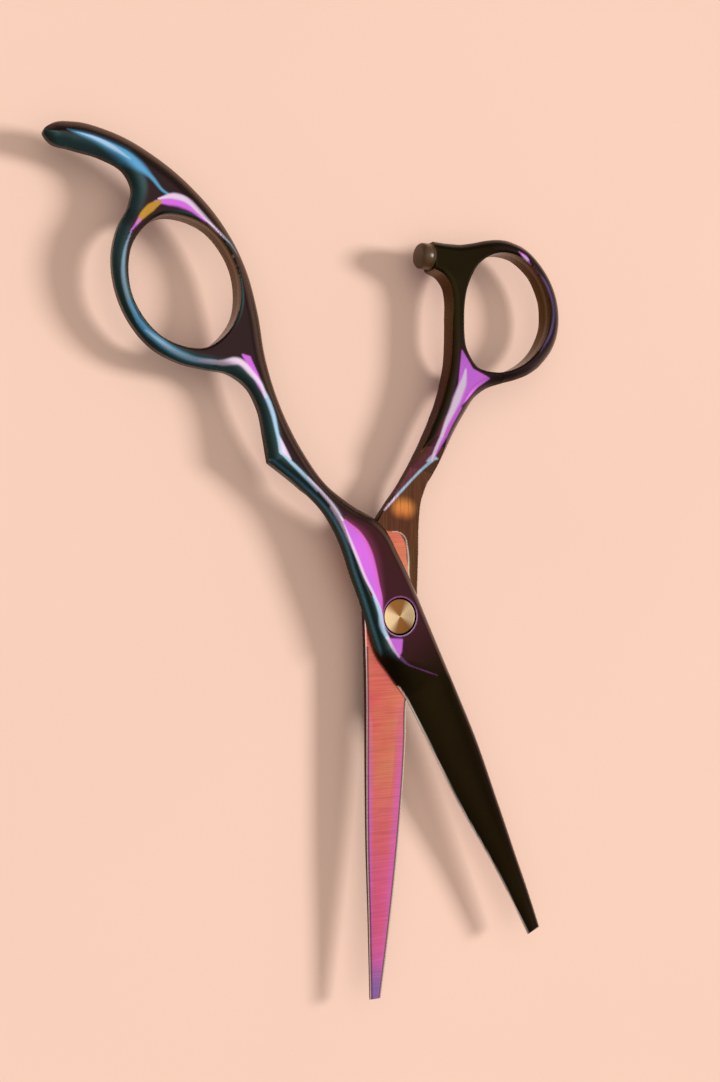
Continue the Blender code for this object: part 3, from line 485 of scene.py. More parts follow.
class Half:
    """One forged half: where its material is, and how high each side stands."""

    def __init__(self, runs, hole, ride_curve, hollow_side):
        self.runs, self.hole = runs, hole
        rims = [outline(runs, RIM_STEP), self.hole_line(RIM_STEP)]
        self.rim_points = np.vstack([points for points, _ in rims])
        self.widths, self.outer_rims, self.inner_rims = np.vstack([values for _, values in rims]).T
        self.edge = polyline(runs["edge"][0] + runs["edge_heel"][0][1:])
        self.spine = polyline(runs["spine"][0] if runs is FINGER_RUNS else
                              runs["pivot_left"][0][4:] + runs["spine"][0][1:])
        self.ride_curve = polyline(ride_curve)
        self.hollow_area = np.array(ride_curve + hollow_side)

    def hole_line(self, step):
        """Points round the finger or thumb hole, with the flank and rims of an outline's points."""
        line = smooth_loop(self.hole, step)
        return line, np.tile((HOLE_FLANK, HOLE_RIM, HOLE_RIM), (len(line), 1))

    def outer(self, points):
        """Height of the outer side above the ride plane."""
        return envelope(points, self.rim_points, self.widths, self.outer_rims, outer_cap(points))

    def inner(self, points):
        """How far the inner side lies past the ride plane: rounded on the ring, flat on the ride,
        and hollow along the blade, deeper by 1 - (1 - s) squared away from the hollow's border."""
        ring = np.full(len(points), RING_DEPTH / 2)
        side = envelope(points, self.rim_points, self.widths, self.inner_rims, ring)
        hollow = self.hollow_share(points)
        return np.minimum(side, inner_cap(points)) - HOLLOW_DEPTH * (1 - (1 - hollow) ** 2)

    def hollow_share(self, points):
        """0 outside the hollow grinding, rising to 1 one hollow's width inside its border."""
        border = np.minimum(distance(points, self.edge) - HONED_STRIP,
                            distance(points, self.ride_curve))
        share = np.clip(border / HOLLOW_WIDTH, 0, 1)
        return np.where(inside(points, self.hollow_area), share, 0.0)


def facet_drop(points, border, side):
    """How far a facet lies below the plate: its slope times the distance past its border line."""
    past = inside(points, np.array(border + side))
    return np.where(past, FACET_SLOPE * distance(points, polyline(border)), 0.0)


def fill(loops, step):
    """A triangular grid of points one step apart inside the loops, joined to them by triangles."""
    border = np.vstack(loops)
    low, high = border.min(axis=0), border.max(axis=0)
    x, y = np.meshgrid(np.arange(low[0], high[0], step),
                       np.arange(low[1], high[1], step * GRID_ROW_SPACING))
    x[1::2] += step / 2
    grid = np.column_stack((x.ravel(), y.ravel()))
    kept = np.zeros(len(grid), bool)
    for loop in loops:
        kept ^= inside(grid, loop)
    grid = grid[kept]
    grid = grid[distance(grid, border, 2.0) > step * GRID_CLEARANCE]
    starts = np.cumsum([0] + [len(loop) for loop in loops])
    edges = []
    for start, loop in zip(starts, loops):
        here = np.arange(len(loop))
        edges += np.column_stack((start + here, start + np.roll(here, -1))).tolist()
    flat = [Vector(point) for point in np.vstack((border, grid)).tolist()]
    points, _, triangles, *_ = delaunay_2d_cdt(flat, edges, [], 0, WELD_DISTANCE)
    points, triangles = np.array([tuple(point) for point in points]), np.array(triangles)
    middles = points[triangles].mean(axis=1)
    kept = np.zeros(len(triangles), bool)
    for loop in loops:
        kept ^= inside(middles, loop)
    triangles = triangles[kept]
    a, b, c = (points[triangles[:, i]] for i in range(3))
    turned = np.cross(b - a, c - a) < 0
    triangles[turned] = triangles[turned, ::-1]
    return points, triangles


def turned_left(loop, wanted):
    """The loop in the wanted turning sense: True for counter-clockwise."""
    area = np.cross(loop, np.roll(loop, -1, axis=0)).sum()
    return loop if (area > 0) == wanted else loop[::-1]


def circle(radius, step):
    """Points on a circle round the axis, one step apart along it."""
    turn = np.arange(round(2 * math.pi * radius / step)) * step / radius
    return radius * np.column_stack((np.cos(turn), np.sin(turn)))


def squared(directions, width):
    """Points on a square, in the given directions from the axis."""
    unit = directions / np.linalg.norm(directions, axis=1)[:, None]
    return unit * (width / 2) / np.abs(unit).max(axis=1)[:, None]


def half_mesh(name, half, top, bottom, recess_radius, recess_rows, step):
    """The half's mesh, and for each of its faces which surface it belongs to. Walls join the border
    of the top to that of the bottom in even rows, at the recess through rows of their own."""
    loops = [turned_left(outline(half.runs, step)[0], True),
             turned_left(half.hole_line(step)[0], False),
             turned_left(circle(recess_radius, step), False)]
    flat, triangles = fill(loops, step)
    count = len(flat)
    points = [np.column_stack((flat, top(flat))), np.column_stack((flat, bottom(flat)))]
    faces = [triangles, triangles[:, ::-1] + count]
    kinds = [np.full(len(triangles), TOP), np.full(len(triangles), BOTTOM)]
    start, made = 0, 2 * count
    for loop, kind in zip(loops, (OUTSIDE, HOLE, RECESS)):
        here = start + np.arange(len(loop))
        upper, lower = points[0][here], points[1][here]
        if kind == RECESS:
            middle = recess_rows(loop)
        else:
            shares = np.arange(1, WALL_ROWS) / WALL_ROWS
            middle = [upper + (lower - upper) * share for share in shares]
        rows = [here]
        for row in middle:
            points.append(row)
            rows.append(made + np.arange(len(loop)))
            made += len(loop)
        rows.append(here + count)
        for above, below in zip(rows, rows[1:]):
            quad = np.column_stack((above, below, np.roll(below, -1), np.roll(above, -1)))
            faces.append(np.vstack((quad[:, [0, 1, 2]], quad[:, [0, 2, 3]])))
            kinds.append(np.full(2 * len(loop), kind))
        start += len(loop)
    mesh = triangle_mesh(name, np.vstack(points), np.vstack(faces))
    return mesh, np.concatenate(kinds)


def triangle_mesh(name, points, faces):
    """A mesh from arrays of points, in millimetres from the ride plane, and triangles."""
    mesh = bpy.data.meshes.new(name)
    world = points * MM + (0.0, 0.0, RIDE_HEIGHT)
    mesh.from_pydata(world.tolist(), [], faces.tolist())
    mesh.update()
    return mesh


def turned_mesh(name, profile, segments=ROUND_SEGMENTS):
    """A closed profile carried round the pivot axis. Each row of the profile is a radius and a
    level, either of which may be an array over the angle. The profile runs with the solid on its
    left, seen with the axis on the left."""
    turn = np.arange(segments) * (2 * math.pi / segments)
    rows = []
    for radius, level in profile:
        rows.append(np.column_stack((radius * np.cos(turn), radius * np.sin(turn),
                                     np.broadcast_to(level, segments))))
    here = np.arange(segments)
    faces = []
    for row in range(len(profile)):
        low, high = row * segments, (row + 1) % len(profile) * segments
        ahead = np.roll(here, -1)
        faces.append(np.column_stack((low + here, low + ahead, high + ahead)))
        faces.append(np.column_stack((low + here, high + ahead, high + here)))
    return triangle_mesh(name, np.vstack(rows), np.vstack(faces))


def closed_on_axis(profile):
    """An open profile that starts and stops on the axis, with tiny circles for its two ends."""
    return [(max(radius, AXIS_CIRCLE_RADIUS), level) for radius, level in profile]


def show(name, mesh, material, body, nodes, sharp=SHARP_ANGLE):
    """Puts a finished piece in the scene, on its body, in place of its plain nodes."""
    mesh.shade_smooth()
    mesh.set_sharp_from_angle(angle=math.radians(sharp))
    mesh.materials.append(material)
    piece = bpy.data.objects.new(name, mesh)
    bpy.context.scene.collection.objects.link(piece)
    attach(piece, body)
    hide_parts(*nodes)


# --- The coat's tones --------------------------------------------------------------------------

TOP, BOTTOM, OUTSIDE, HOLE, RECESS = range(5)


class Coat:
    """The tone and the finish of every face corner of a half, laid on in layers."""

    def __init__(self, mesh, kinds, tones):
        mesh.shade_smooth()
        mesh.set_sharp_from_angle(angle=math.radians(SHARP_ANGLE))
        count = len(mesh.loops)
        self.mesh, self.tones = mesh, tones
        corner = np.empty(count, np.int32)
        mesh.loops.foreach_get("vertex_index", corner)
        points = np.empty(len(mesh.vertices) * 3)
        mesh.vertices.foreach_get("co", points)
        points = (points.reshape(-1, 3) - (0.0, 0.0, RIDE_HEIGHT)) / MM
        self.corner, self.vertices = corner, points[:, :2]
        self.x, self.y, self.level = points[corner].T
        normals = np.empty(count * 3)
        mesh.corner_normals.foreach_get("vector", normals)
        self.normal = normals.reshape(-1, 3)
        kinds = np.repeat(kinds, 3)
        self.top, self.bottom, self.outside, self.hole, self.recess = (
            (kinds == kind).astype(float) for kind in (TOP, BOTTOM, OUTSIDE, HOLE, RECESS))
        self.colour = np.zeros((count, 3))
        self.satin = np.full(count, 0.22)
        self.ground, self.lapped = np.zeros(count), np.zeros(count)

    def away(self, line, reach=4.0):
        """How far each corner lies from a line in plan, up to a reach."""
        low, high = line.min(axis=0) - reach, line.max(axis=0) + reach
        close = np.all((self.vertices > low) & (self.vertices < high), axis=1)
        result = np.full(len(self.vertices), reach)
        result[close] = distance(self.vertices[close], line, reach)
        return result[self.corner]

    def stroke(self, path, widths, core=0.35):
        """1 along the middle of a smooth path, falling to 0 at its sides. The widths are distances
        from the middle to the side, at even steps from the start to the end of the path."""
        line = polyline(path, 0.15)
        width = np.interp(np.linspace(0, 1, len(line)), np.linspace(0, 1, len(widths)), widths)
        reach = width.max()
        low, high = line.min(axis=0) - reach, line.max(axis=0) + reach
        close = np.flatnonzero(np.all((self.vertices > low) & (self.vertices < high), axis=1))
        points = self.vertices[close]

        def measure(part, near):
            away = points[part, None] - line[None, near]
            return (np.hypot(away[..., 0], away[..., 1]) / width[near]).min(axis=1)

        share = np.ones(len(self.vertices))
        share[close] = np.minimum(in_strips(points, reach, line, measure), 1)
        return 1 - smoothstep(share, core, 1)[self.corner]

    def patch(self, loop, soft):
        """1 inside a loop of straight sides, falling to 0 over the soft distance outside it."""
        loop = np.asarray(loop, float)
        ends = np.vstack((loop, loop[:1]))
        share = np.linspace(0, 1, 41)[:-1, None]
        border = np.vstack([a + (b - a) * share for a, b in zip(ends, ends[1:])])
        outside = 1 - smoothstep(self.away(border, soft + 0.1), 0, soft)
        return np.where(inside(self.vertices, loop)[self.corner], 1.0, outside)

    def tilt(self, side, low, high):
        """0 to 1 as faces turn to a side: -1 for the lower left and +1 for the upper right."""
        return smoothstep(side * (self.normal[:, :2] @ (0.8, 0.6)), low, high)

    def level_share(self, low=0.90, high=0.98):
        """0 on slopes and 1 on level faces, of either side."""
        return smoothstep(np.abs(self.normal[:, 2]), low, high)

    def lay(self, name, weight):
        """Mixes a tone in by its weight at each corner."""
        tone_rgb = np.array(getattr(self.tones, name))
        self.colour += (tone_rgb - self.colour) * np.asarray(weight, float)[:, None]

    def lay_marks(self, side, marks):
        """Lays strokes, which have widths, and patches, which have one soft distance, on a side."""
        for name, strength, line, size, *core in marks:
            stroke = isinstance(size, tuple)
            mark = self.stroke(line, size, *core) if stroke else self.patch(line, size)
            self.lay(name, strength * side * mark)

    def store(self):
        """Writes the tones and the finish to the mesh, for the material to read."""
        rgba = np.column_stack((self.colour, np.ones(len(self.colour))))
        finish = np.column_stack((self.satin, self.ground, self.lapped, np.ones(len(self.satin))))
        for name, values in (("coat", rgba), ("finish", finish)):
            attribute = self.mesh.attributes.new(name, "FLOAT_COLOR", "CORNER")
            attribute.data.foreach_set("color", np.clip(values, 0, 1).astype(np.float32).ravel())


def coat_base(coat, half, left, steep_left):
    """Plum on level faces; umber where they turn right and two given tones as they turn left, as
    painted reflections; amber inside the holes; and a painted highlight, a bright hairline where the rim
    turns right."""
    coat.lay("plum", np.ones(len(coat.x)))
    # painted reflections: the flank's tone follows which way it turns
    coat.lay("umber", coat.tilt(1, 0.10, 0.50))
    coat.lay(left, coat.tilt(-1, 0.08, 0.42))
    coat.lay(steep_left, coat.tilt(-1, 0.42, 0.85))
    # painted highlights on the underside: violet on level crests past the pivot, sky where faces turn gently left
    coat.lay("violet", 0.35 * coat.bottom * coat.level_share(0.985, 0.999) * (coat.y > 20))
    gentle_left = coat.tilt(-1, 0.03, 0.12) * (1 - coat.tilt(-1, 0.15, 0.35))
    coat.lay("sky", 0.35 * coat.bottom * gentle_left)
    coat.lay("amber", coat.hole)
    # a faint painted highlight line round the hole walls
    coat.lay("steel", 0.09 * coat.hole * (1 - smoothstep(np.abs(coat.level - 0.7), 0.1, 0.5)))
    coat.lay("umber", 0.6 * coat.hole * (1 - smoothstep(coat.level, -2.2, -0.4)))
    coat.lay("plum", coat.recess)
    # painted highlight: a bright hairline on the rims that turn right, where the light from the right catches them
    border = coat.away(outline(half.runs, RIM_STEP)[0], 1.0)
    rims = (coat.top + coat.bottom) * (1 - smoothstep(border, 0.05, 0.25))
    coat.lay("steel", 0.45 * rims * coat.tilt(1, 0.0, 0.12))


def coat_inner_blade(coat, half, side, hollow_end):
    """The inner side of a half: brown with lapping lines on the ride face, orange-red turning to
    rose in the hollow, magenta beside the honed strip, violet at the spine and at the tip."""
    edge, spine = coat.away(half.edge, 12.0), coat.away(half.spine, 12.0)
    # 0 at the spine and 1 at the edge
    across = spine / np.maximum(spine + edge, 0.01)
    hollow = half.hollow_share(coat.vertices)[coat.corner] * side
    ground = smoothstep(hollow, 0.0, 0.10)
    ride = side * (coat.y < 34) * coat.level_share() * (1 - ground)
    coat.lay("copper", ride)
    coat.lapped += ride * (coat.y > -8)
    coat.lay("orange_red", ground)
    coat.lay("rose", ground * (1 - smoothstep(coat.y, -66.0, -22.0)))
    at_edge, at_spine = smoothstep(across, 0.62, 0.97), 1 - smoothstep(across, 0.05, 0.22)
    coat.lay("magenta", ground * at_edge * (1 - smoothstep(coat.y, -34.0, -12.0)))
    coat.lay("magenta", 0.6 * ground * (1 - smoothstep(coat.y, -72.0, -52.0)))
    coat.lay("violet", 0.75 * ground * at_spine * (1 - smoothstep(coat.y, -40.0, -14.0)))
    coat.lay("iris", 0.85 * ground * (1 - smoothstep(coat.y, -72.5, -66.0)))
    blade = side * (coat.y < -6)
    coat.lay("wine", blade * (1 - smoothstep(spine, 0.4, 0.7)))
    coat.lay("copper", blade * (1 - smoothstep(edge, HONED_STRIP - 0.1, HONED_STRIP + 0.1)))
    # painted highlight: a bright line where the hollow ends
    coat.lay("steel", 0.8 * side * coat.stroke(hollow_end, (0.12, 0.26, 0.2)))
    coat.ground += ground
    coat.satin += 0.14 * ground
    return spine


def coat_outer_blade(coat, side, spine, start):
    """The outer side of a blade below a slanting start: brown-black with a greyer spine."""
    blade = side * (1 - smoothstep(coat.y + 0.33 * coat.x, start - 1.0, start + 1.0))
    coat.lay("brown_black", blade)
    coat.lay("spine_grey", 0.7 * blade * (1 - smoothstep(spine, 0.9, 2.4)))


def coat_sharp_edges(coat, half, sizes, right_rim):
    """Fine bright lines along the cutting edge, the spine and the rim right of the pivot: bare steel
    with a painted highlight at the cutting edge, and painted highlights on the spine and the rim.
    """
    band = sizes.edge_band / MM
    edge = 1 - smoothstep(coat.away(half.edge, 1.0), 0.5 * band, band)
    coat.lay("steel", edge * (coat.y < -14))
    spine = 1 - smoothstep(coat.away(half.spine, 1.0), 0.4 * band, 0.9 * band)
    coat.lay("steel", 0.8 * spine * (coat.top + coat.bottom))
    rim = coat.away(polyline(right_rim), 1.0)
    coat.lay("steel", 0.8 * coat.top * (1 - smoothstep(rim, 0.06, 0.22)))


def coat_finger(coat, half, sizes):
    """The finger half: teal to the left as a painted reflection, maroon around the screw, a violet
    facet beside it painted brighter as a reflection, and blue and lilac painted highlights along the
    crests."""
    coat_base(coat, half, "teal", "green")
    top = coat.top
    left_rim = FINGER_RUNS["pivot_left"][0] + FINGER_RUNS["shank_left"][0][1:]
    # painted highlight: a sky-blue line just inside the left rim
    rim = coat.away(polyline(left_rim), 2.0)
    coat.lay("sky", 0.35 * top * (1 - smoothstep(np.abs(rim - 0.55), 0.05, 0.30)))
    coat.lay("plum", 0.7 * coat.outside)
    face = top * coat.level_share(0.93, 0.98) * (1 - smoothstep(coat.y, 17.0, 24.0))
    coat.lay("maroon", face)
    coat.lay("brown_black", 0.85 * face * smoothstep(0.45 * coat.x - 0.9 * coat.y, 2.0, 15.0))
    spine = coat_inner_blade(coat, half, coat.bottom, FINGER_RIDE_CURVE[1:])
    coat_outer_blade(coat, top, spine, -8.2)
    # painted highlight: a faint violet line where the blade starts
    blade_start = [(0.0, -7.9), (2.0, -9.5), (4.1, -10.3), (8.7, -11.9)]
    coat.lay("violet", 0.20 * top * coat.stroke(blade_start, (0.5, 0.25, 0.15, 0.2, 0.1)))
    # painted reflection on the facet: bright violet, with a darker wine band and a rose sheen along its far border
    borders = polyline(FACET_LIT_CREASE[1:], 0.4), polyline(FACET_FAR_BORDER, 0.4)
    facet = top * coat.patch(np.vstack(borders), 0.3)
    glow = coat.stroke(FACET_FAR_BORDER, (0.6, 1.6, 2.2, 2.2, 1.0), 0.1)
    coat.lay("wine", 0.75 * top * glow)
    coat.lay("violet", facet)
    coat.lay("rose", 0.35 * facet * coat.stroke(FACET_FAR_BORDER, (0.4, 0.8, 1.0, 1.0, 0.5), 0.0))
    # painted highlight: a violet patch below the screw
    below_screw = [(-2.4, -4.4), (0.4, -4.6), (0.2, -6.8), (-0.2, -7.8)]
    coat.lay("violet", top * coat.patch(below_screw, 0.4))
    coat.satin += 0.08 * facet
    coat.lay_marks(top, FINGER_PAINTED_HIGHLIGHTS)
    # painted highlight on the rim of the screw recess, brightest to the lower right
    radius = np.hypot(coat.x, coat.y)
    recess = sizes.recess_diameter / MM / 2
    coat.lay("violet", 0.3 * top * (1 - smoothstep(np.abs(radius - recess - 0.10), 0.05, 0.30)))
    coat.lay("lilac", 0.75 * top * (1 - smoothstep(np.abs(radius - recess - 0.06), 0.02, 0.14))
             * (0.25 + 0.75 * smoothstep(coat.x - 1.4 * coat.y, -1.0, 5.0)))
    coat_sharp_edges(coat, half, sizes, FINGER_RUNS["pivot_right"][0][3:])


def coat_thumb(coat, half, sizes):
    """The thumb half: olive to the left as a painted reflection, amber and russet walls that are
    painted reflections where they face left, violet and lilac painted highlights from the ride face up
    to the ring, and a near-black spur."""
    coat_base(coat, half, "olive", "russet")
    top = coat.top
    # painted reflection: walls that face left turn amber, and russet towards the shank
    left_wall = coat.outside * coat.tilt(-1, 0.1, 0.5) * (coat.y > 16)
    coat.lay("amber", left_wall)
    coat.lay("russet", left_wall * (1 - smoothstep(coat.y, 40.0, 60.0)))
    coat.lay("maroon", coat.bottom * coat.level_share() * (1 - smoothstep(coat.y, 16.0, 24.0)))
    spine = coat_inner_blade(coat, half, top, THUMB_HOLLOW_END)
    coat_outer_blade(coat, coat.bottom, spine, -11.0)
    coat.lay_marks(top, THUMB_SHANK_PAINTED_HIGHLIGHTS)
    far = top * smoothstep(coat.y, 50.0, 62.0)
    coat.lay("olive", 0.9 * far * (1 - smoothstep(coat.x, 20.0, 34.0)))
    coat.lay_marks(top, THUMB_RING_MARKS)
    coat_sharp_edges(coat, half, sizes, THUMB_RUNS["pivot_right"][0])


# --- Materials ---------------------------------------------------------------------------------


def new_material(name, **values):
    """A material with a Principled shader whose sockets hold the given constants."""
    material = bpy.data.materials.new(name)
    material.use_nodes = True
    shader = material.node_tree.nodes["Principled BSDF"]
    for socket, value in values.items():
        shader.inputs[socket.replace("_", " ")].default_value = value
    return material, material.node_tree, shader


def add(tree, kind, links=None, settings=None, values=None):
    """A node of a kind, with its settings, constant inputs and links to its inputs."""
    node = tree.nodes.new("ShaderNode" + kind)
    for key, value in (settings or {}).items():
        setattr(node, key, value)
    for key, value in (values or {}).items():
        node.inputs[key].default_value = value
    for key, socket in (links or {}).items():
        tree.links.new(socket, node.inputs[key])
    return node


def lines(tree, place, across, along, detail):
    """Noise stretched into lines: its pattern repeats every so many metres in X and in Y."""
    mapping = add(tree, "Mapping", {"Vector": place},
                  values={"Scale": (1 / across, 1 / along, 1 / across)})
    return add(tree, "TexNoise", {"Vector": mapping.outputs[0]},
               values={"Scale": 1.0, "Detail": detail, "Roughness": 0.6}).outputs["Fac"]


def mottle(tree, shader, code, pattern, low, high):
    """Gives the shader a colour whose brightness follows a pattern, from low to high."""
    value = add(tree, "MapRange", {"Value": pattern}, values={"To Min": low, "To Max": high})
    tinted = add(tree, "HueSaturation", {"Value": value.outputs[0]},
                 values={"Color": (*linear(code), 1)})
    tree.links.new(tinted.outputs[0], shader.inputs["Base Color"])


def coated_steel(sizes):
    """Forged stainless steel, ground and polished, with an interference coat of titanium laid on in
    vacuum. The eye sees dark glassy metal with grinding lines left on the inner blade faces; its violet
    and blue flashes are painted highlights and reflections in the coat's tones."""
    material, tree, shader = new_material("titanium_coated_steel", Metallic=1.0)
    place = add(tree, "TexCoord").outputs["Object"]
    coat = add(tree, "Attribute", settings={"attribute_name": "coat"}).outputs["Color"]
    finish = add(tree, "Attribute", settings={"attribute_name": "finish"}).outputs["Color"]
    parts = add(tree, "SeparateColor", {0: finish})
    satin, ground, lapped = (parts.outputs[name] for name in ("Red", "Green", "Blue"))
    # grinding lines run across the blade, lapping lines along it
    across = lines(tree, place, 9 * MM, sizes.grinding_pitch, 6.0)
    along = lines(tree, place, sizes.grinding_pitch, 7 * MM, 6.0)
    line_mix = add(tree, "Mix", {"Factor": lapped, "A": across, "B": along})
    marked = add(tree, "Math", {0: ground, 1: lapped}, {"operation": "ADD", "use_clamp": True})
    lined = add(tree, "Mix", {"Factor": marked.outputs[0], "B": line_mix.outputs["Result"]},
                values={"A": 0.5}).outputs["Result"]
    # the lines darken and lighten the coat, more so on lapped faces
    depth = add(tree, "Math", {0: lapped}, {"operation": "MULTIPLY_ADD"}, {1: 1.3, 2: 0.75})
    centred = add(tree, "Math", {0: lined}, {"operation": "SUBTRACT"}, {1: 0.5})
    tint = add(tree, "Math", {0: centred.outputs[0], 1: depth.outputs[0]},
               {"operation": "MULTIPLY_ADD"}, {2: 1.0})
    # the coat's thickness drifts, and its hue with it
    cloud = add(tree, "TexNoise", {"Vector": place}, values={"Scale": 1 / (9 * MM), "Detail": 2.0})
    drift = add(tree, "MapRange", {"Value": cloud.outputs["Fac"]},
                values={"From Min": 0.3, "From Max": 0.7, "To Min": 0.485, "To Max": 0.515})
    hue = add(tree, "HueSaturation",
              {"Color": coat, "Hue": drift.outputs[0], "Value": tint.outputs[0]})
    grain = add(tree, "TexNoise", {"Vector": place},
                values={"Scale": 1 / (0.35 * MM), "Detail": 3.0})
    rough = add(tree, "Math", {0: grain.outputs["Fac"], 2: satin},
                {"operation": "MULTIPLY_ADD"}, {1: 0.10})
    bump = add(tree, "Bump", {"Height": lined}, values={"Strength": 0.25, "Distance": 0.01 * MM})
    tree.links.new(hue.outputs[0], shader.inputs["Base Color"])
    tree.links.new(rough.outputs[0], shader.inputs["Roughness"])
    tree.links.new(bump.outputs[0], shader.inputs["Normal"])
    return material


def turned_brass():
    """Brass faced on a lathe and plated gold. The fine rings round the axis stretch its gloss, and two
    pale fans, left and right, with darker fans between them, are painted into its colour as a painted
    reflection."""
    material, tree, shader = new_material("turned_gold_brass", Metallic=1.0, Roughness=0.30,
                                          Anisotropic=0.7)
    tangent = add(tree, "Tangent", settings={"direction_type": "RADIAL", "axis": "Z"})
    tree.links.new(tangent.outputs[0], shader.inputs["Tangent"])
    place = add(tree, "TexCoord").outputs["Object"]
    # the lathe's rings, drawn 0.6 mm apart: the real 0.05 mm is too fine to show
    rings = add(tree, "TexWave", {"Vector": place},
                {"wave_type": "RINGS", "rings_direction": "Z"},
                {"Scale": 0.55 / MM, "Distortion": 0.6, "Detail": 2.0}).outputs["Fac"]
    # painted reflection: pale fans left and right, darker fans between, by the angle round the axis
    parts = add(tree, "SeparateXYZ", {0: place})
    angle = add(tree, "Math", {0: parts.outputs["Y"], 1: parts.outputs["X"]},
                {"operation": "ARCTAN2"})
    double = add(tree, "Math", {0: angle.outputs[0]}, {"operation": "MULTIPLY_ADD"},
                 {1: 2.0, 2: -0.45})
    fan = add(tree, "Math", {0: double.outputs[0]}, {"operation": "COSINE"})
    bright = add(tree, "MapRange", {"Value": fan.outputs[0]},
                 {"interpolation_type": "SMOOTHSTEP"},
                 {"From Min": -0.7, "From Max": 0.8, "To Min": 0.0, "To Max": 1.0})
    shade = add(tree, "MapRange", {"Value": rings}, values={"To Min": 0.93, "To Max": 1.03})
    value = add(tree, "Math", {0: bright.outputs[0], 1: shade.outputs[0]},
                {"operation": "MULTIPLY"})
    tinted = add(tree, "Mix", {"Factor": value.outputs[0]}, {"data_type": "RGBA"},
                 {6: (*linear("#a06c38"), 1), 7: (*linear("#ffe2b0"), 1)})
    tree.links.new(tinted.outputs[2], shader.inputs["Base Color"])
    bump = add(tree, "Bump", {"Height": rings}, values={"Strength": 0.05, "Distance": 0.01 * MM})
    tree.links.new(bump.outputs[0], shader.inputs["Normal"])
    return material


def plain_metal(name, code, roughness, grain_mm):
    """Ground metal: even, with a fine grain in its gloss."""
    material, tree, shader = new_material(name, Metallic=1.0)
    place = add(tree, "TexCoord").outputs["Object"]
    grain = add(tree, "TexNoise", {"Vector": place},
                values={"Scale": 1 / (grain_mm * MM), "Detail": 4.0}).outputs["Fac"]
    rough = add(tree, "MapRange", {"Value": grain},
                values={"To Min": roughness - 0.08, "To Max": roughness + 0.12})
    tree.links.new(rough.outputs[0], shader.inputs["Roughness"])
    mottle(tree, shader, code, grain, 0.85, 1.1)
    return material


def silicone():
    """Moulded silicone, smoky olive-brown: soft gloss, and light that passes into it."""
    material, tree, shader = new_material("moulded_silicone", Roughness=0.30, IOR=1.41,
                                          Transmission_Weight=0.55)
    place = add(tree, "TexCoord").outputs["Object"]
    cloud = add(tree, "TexNoise", {"Vector": place},
                values={"Scale": 1 / (1.8 * MM), "Detail": 3.0})
    mottle(tree, shader, "#634727", cloud.outputs["Fac"], 0.8, 1.2)
    return material


def polymer():
    """Moulded low-friction polymer: even off-white with a waxy gloss."""
    material, tree, shader = new_material("acetal_polymer", IOR=1.48)
    place = add(tree, "TexCoord").outputs["Object"]
    cloud = add(tree, "TexNoise", {"Vector": place},
                values={"Scale": 1 / (0.6 * MM), "Detail": 3.0}).outputs["Fac"]
    rough = add(tree, "MapRange", {"Value": cloud}, values={"To Min": 0.35, "To Max": 0.55})
    tree.links.new(rough.outputs[0], shader.inputs["Roughness"])
    mottle(tree, shader, "#e4e2da", cloud, 0.93, 1.03)
    return material


# --- Operators ---------------------------------------------------------------------------------


class SHEARS_OT_finger_half(bpy.types.Operator):
    """Builds the finger half with its ring, tang and blade"""

    bl_idname = "shears.finger_half"
    bl_label = "Finger half"

    def execute(self, context):
        sizes, tones = context.scene.shears_sizes, context.scene.shears_tones
        half = Half(FINGER_RUNS, FINGER_HOLE, FINGER_RIDE_CURVE, FINGER_HOLLOW_SIDE)

        def top(points):
            drop = facet_drop(points, FACET_BORDER, FACET_SIDE)
            return np.minimum(half.outer(points), outer_cap(points) - drop)

        def bottom(points):
            return -half.inner(points)

        def recess_rows(loop):
            bore = loop * (NECK_BORE_RADIUS / np.linalg.norm(loop, axis=1))[:, None]
            return [level_row(loop, COUNTERBORE_FLOOR), level_row(bore, COUNTERBORE_FLOOR),
                    level_row(bore, INNER)]

        mesh, kinds = half_mesh("finger_half_finish", half, top, bottom,
                                sizes.recess_diameter / MM / 2, recess_rows,
                                sizes.surface_step / MM)
        coat = Coat(mesh, kinds, tones)
        coat_finger(coat, half, sizes)
        coat.store()
        show("finger_half_finish", mesh, coated_steel(sizes), "finger",
             ["finger_half"])
        return {"FINISHED"}


class SHEARS_OT_thumb_half(bpy.types.Operator):
    """Builds the thumb half with its ring, spur and blade"""

    bl_idname = "shears.thumb_half"
    bl_label = "Thumb half"

    def execute(self, context):
        sizes, tones = context.scene.shears_sizes, context.scene.shears_tones
        half = Half(THUMB_RUNS, THUMB_HOLE, THUMB_RIDE_CURVE, THUMB_HOLLOW_SIDE)

        def recess_rows(loop):
            far = np.linalg.norm(loop, axis=1)[:, None]
            key, glide = squared(loop, KEY_BORE_WIDTH), loop * GLIDE_RECESS_RADIUS / far
            return [level_row(glide, -INNER), level_row(glide, GLIDE_FLOOR),
                    level_row(key, GLIDE_FLOOR), level_row(key, NUT_FLOOR),
                    level_row(loop, NUT_FLOOR)]

        def bottom(points):
            return -half.outer(points)

        mesh, kinds = half_mesh("thumb_half_finish", half, half.inner, bottom,
                                sizes.nut_recess_diameter / MM / 2, recess_rows,
                                sizes.surface_step / MM)
        coat = Coat(mesh, kinds, tones)
        coat_thumb(coat, half, sizes)
        coat.store()
        material = bpy.data.materials.get("titanium_coated_steel") or coated_steel(sizes)
        show("thumb_half_finish", mesh, material, "thumb", ["thumb_half"])
        return {"FINISHED"}


def level_row(plan, level):
    """Points in plan, all at one level."""
    return np.column_stack((plan, np.full(len(plan), level)))


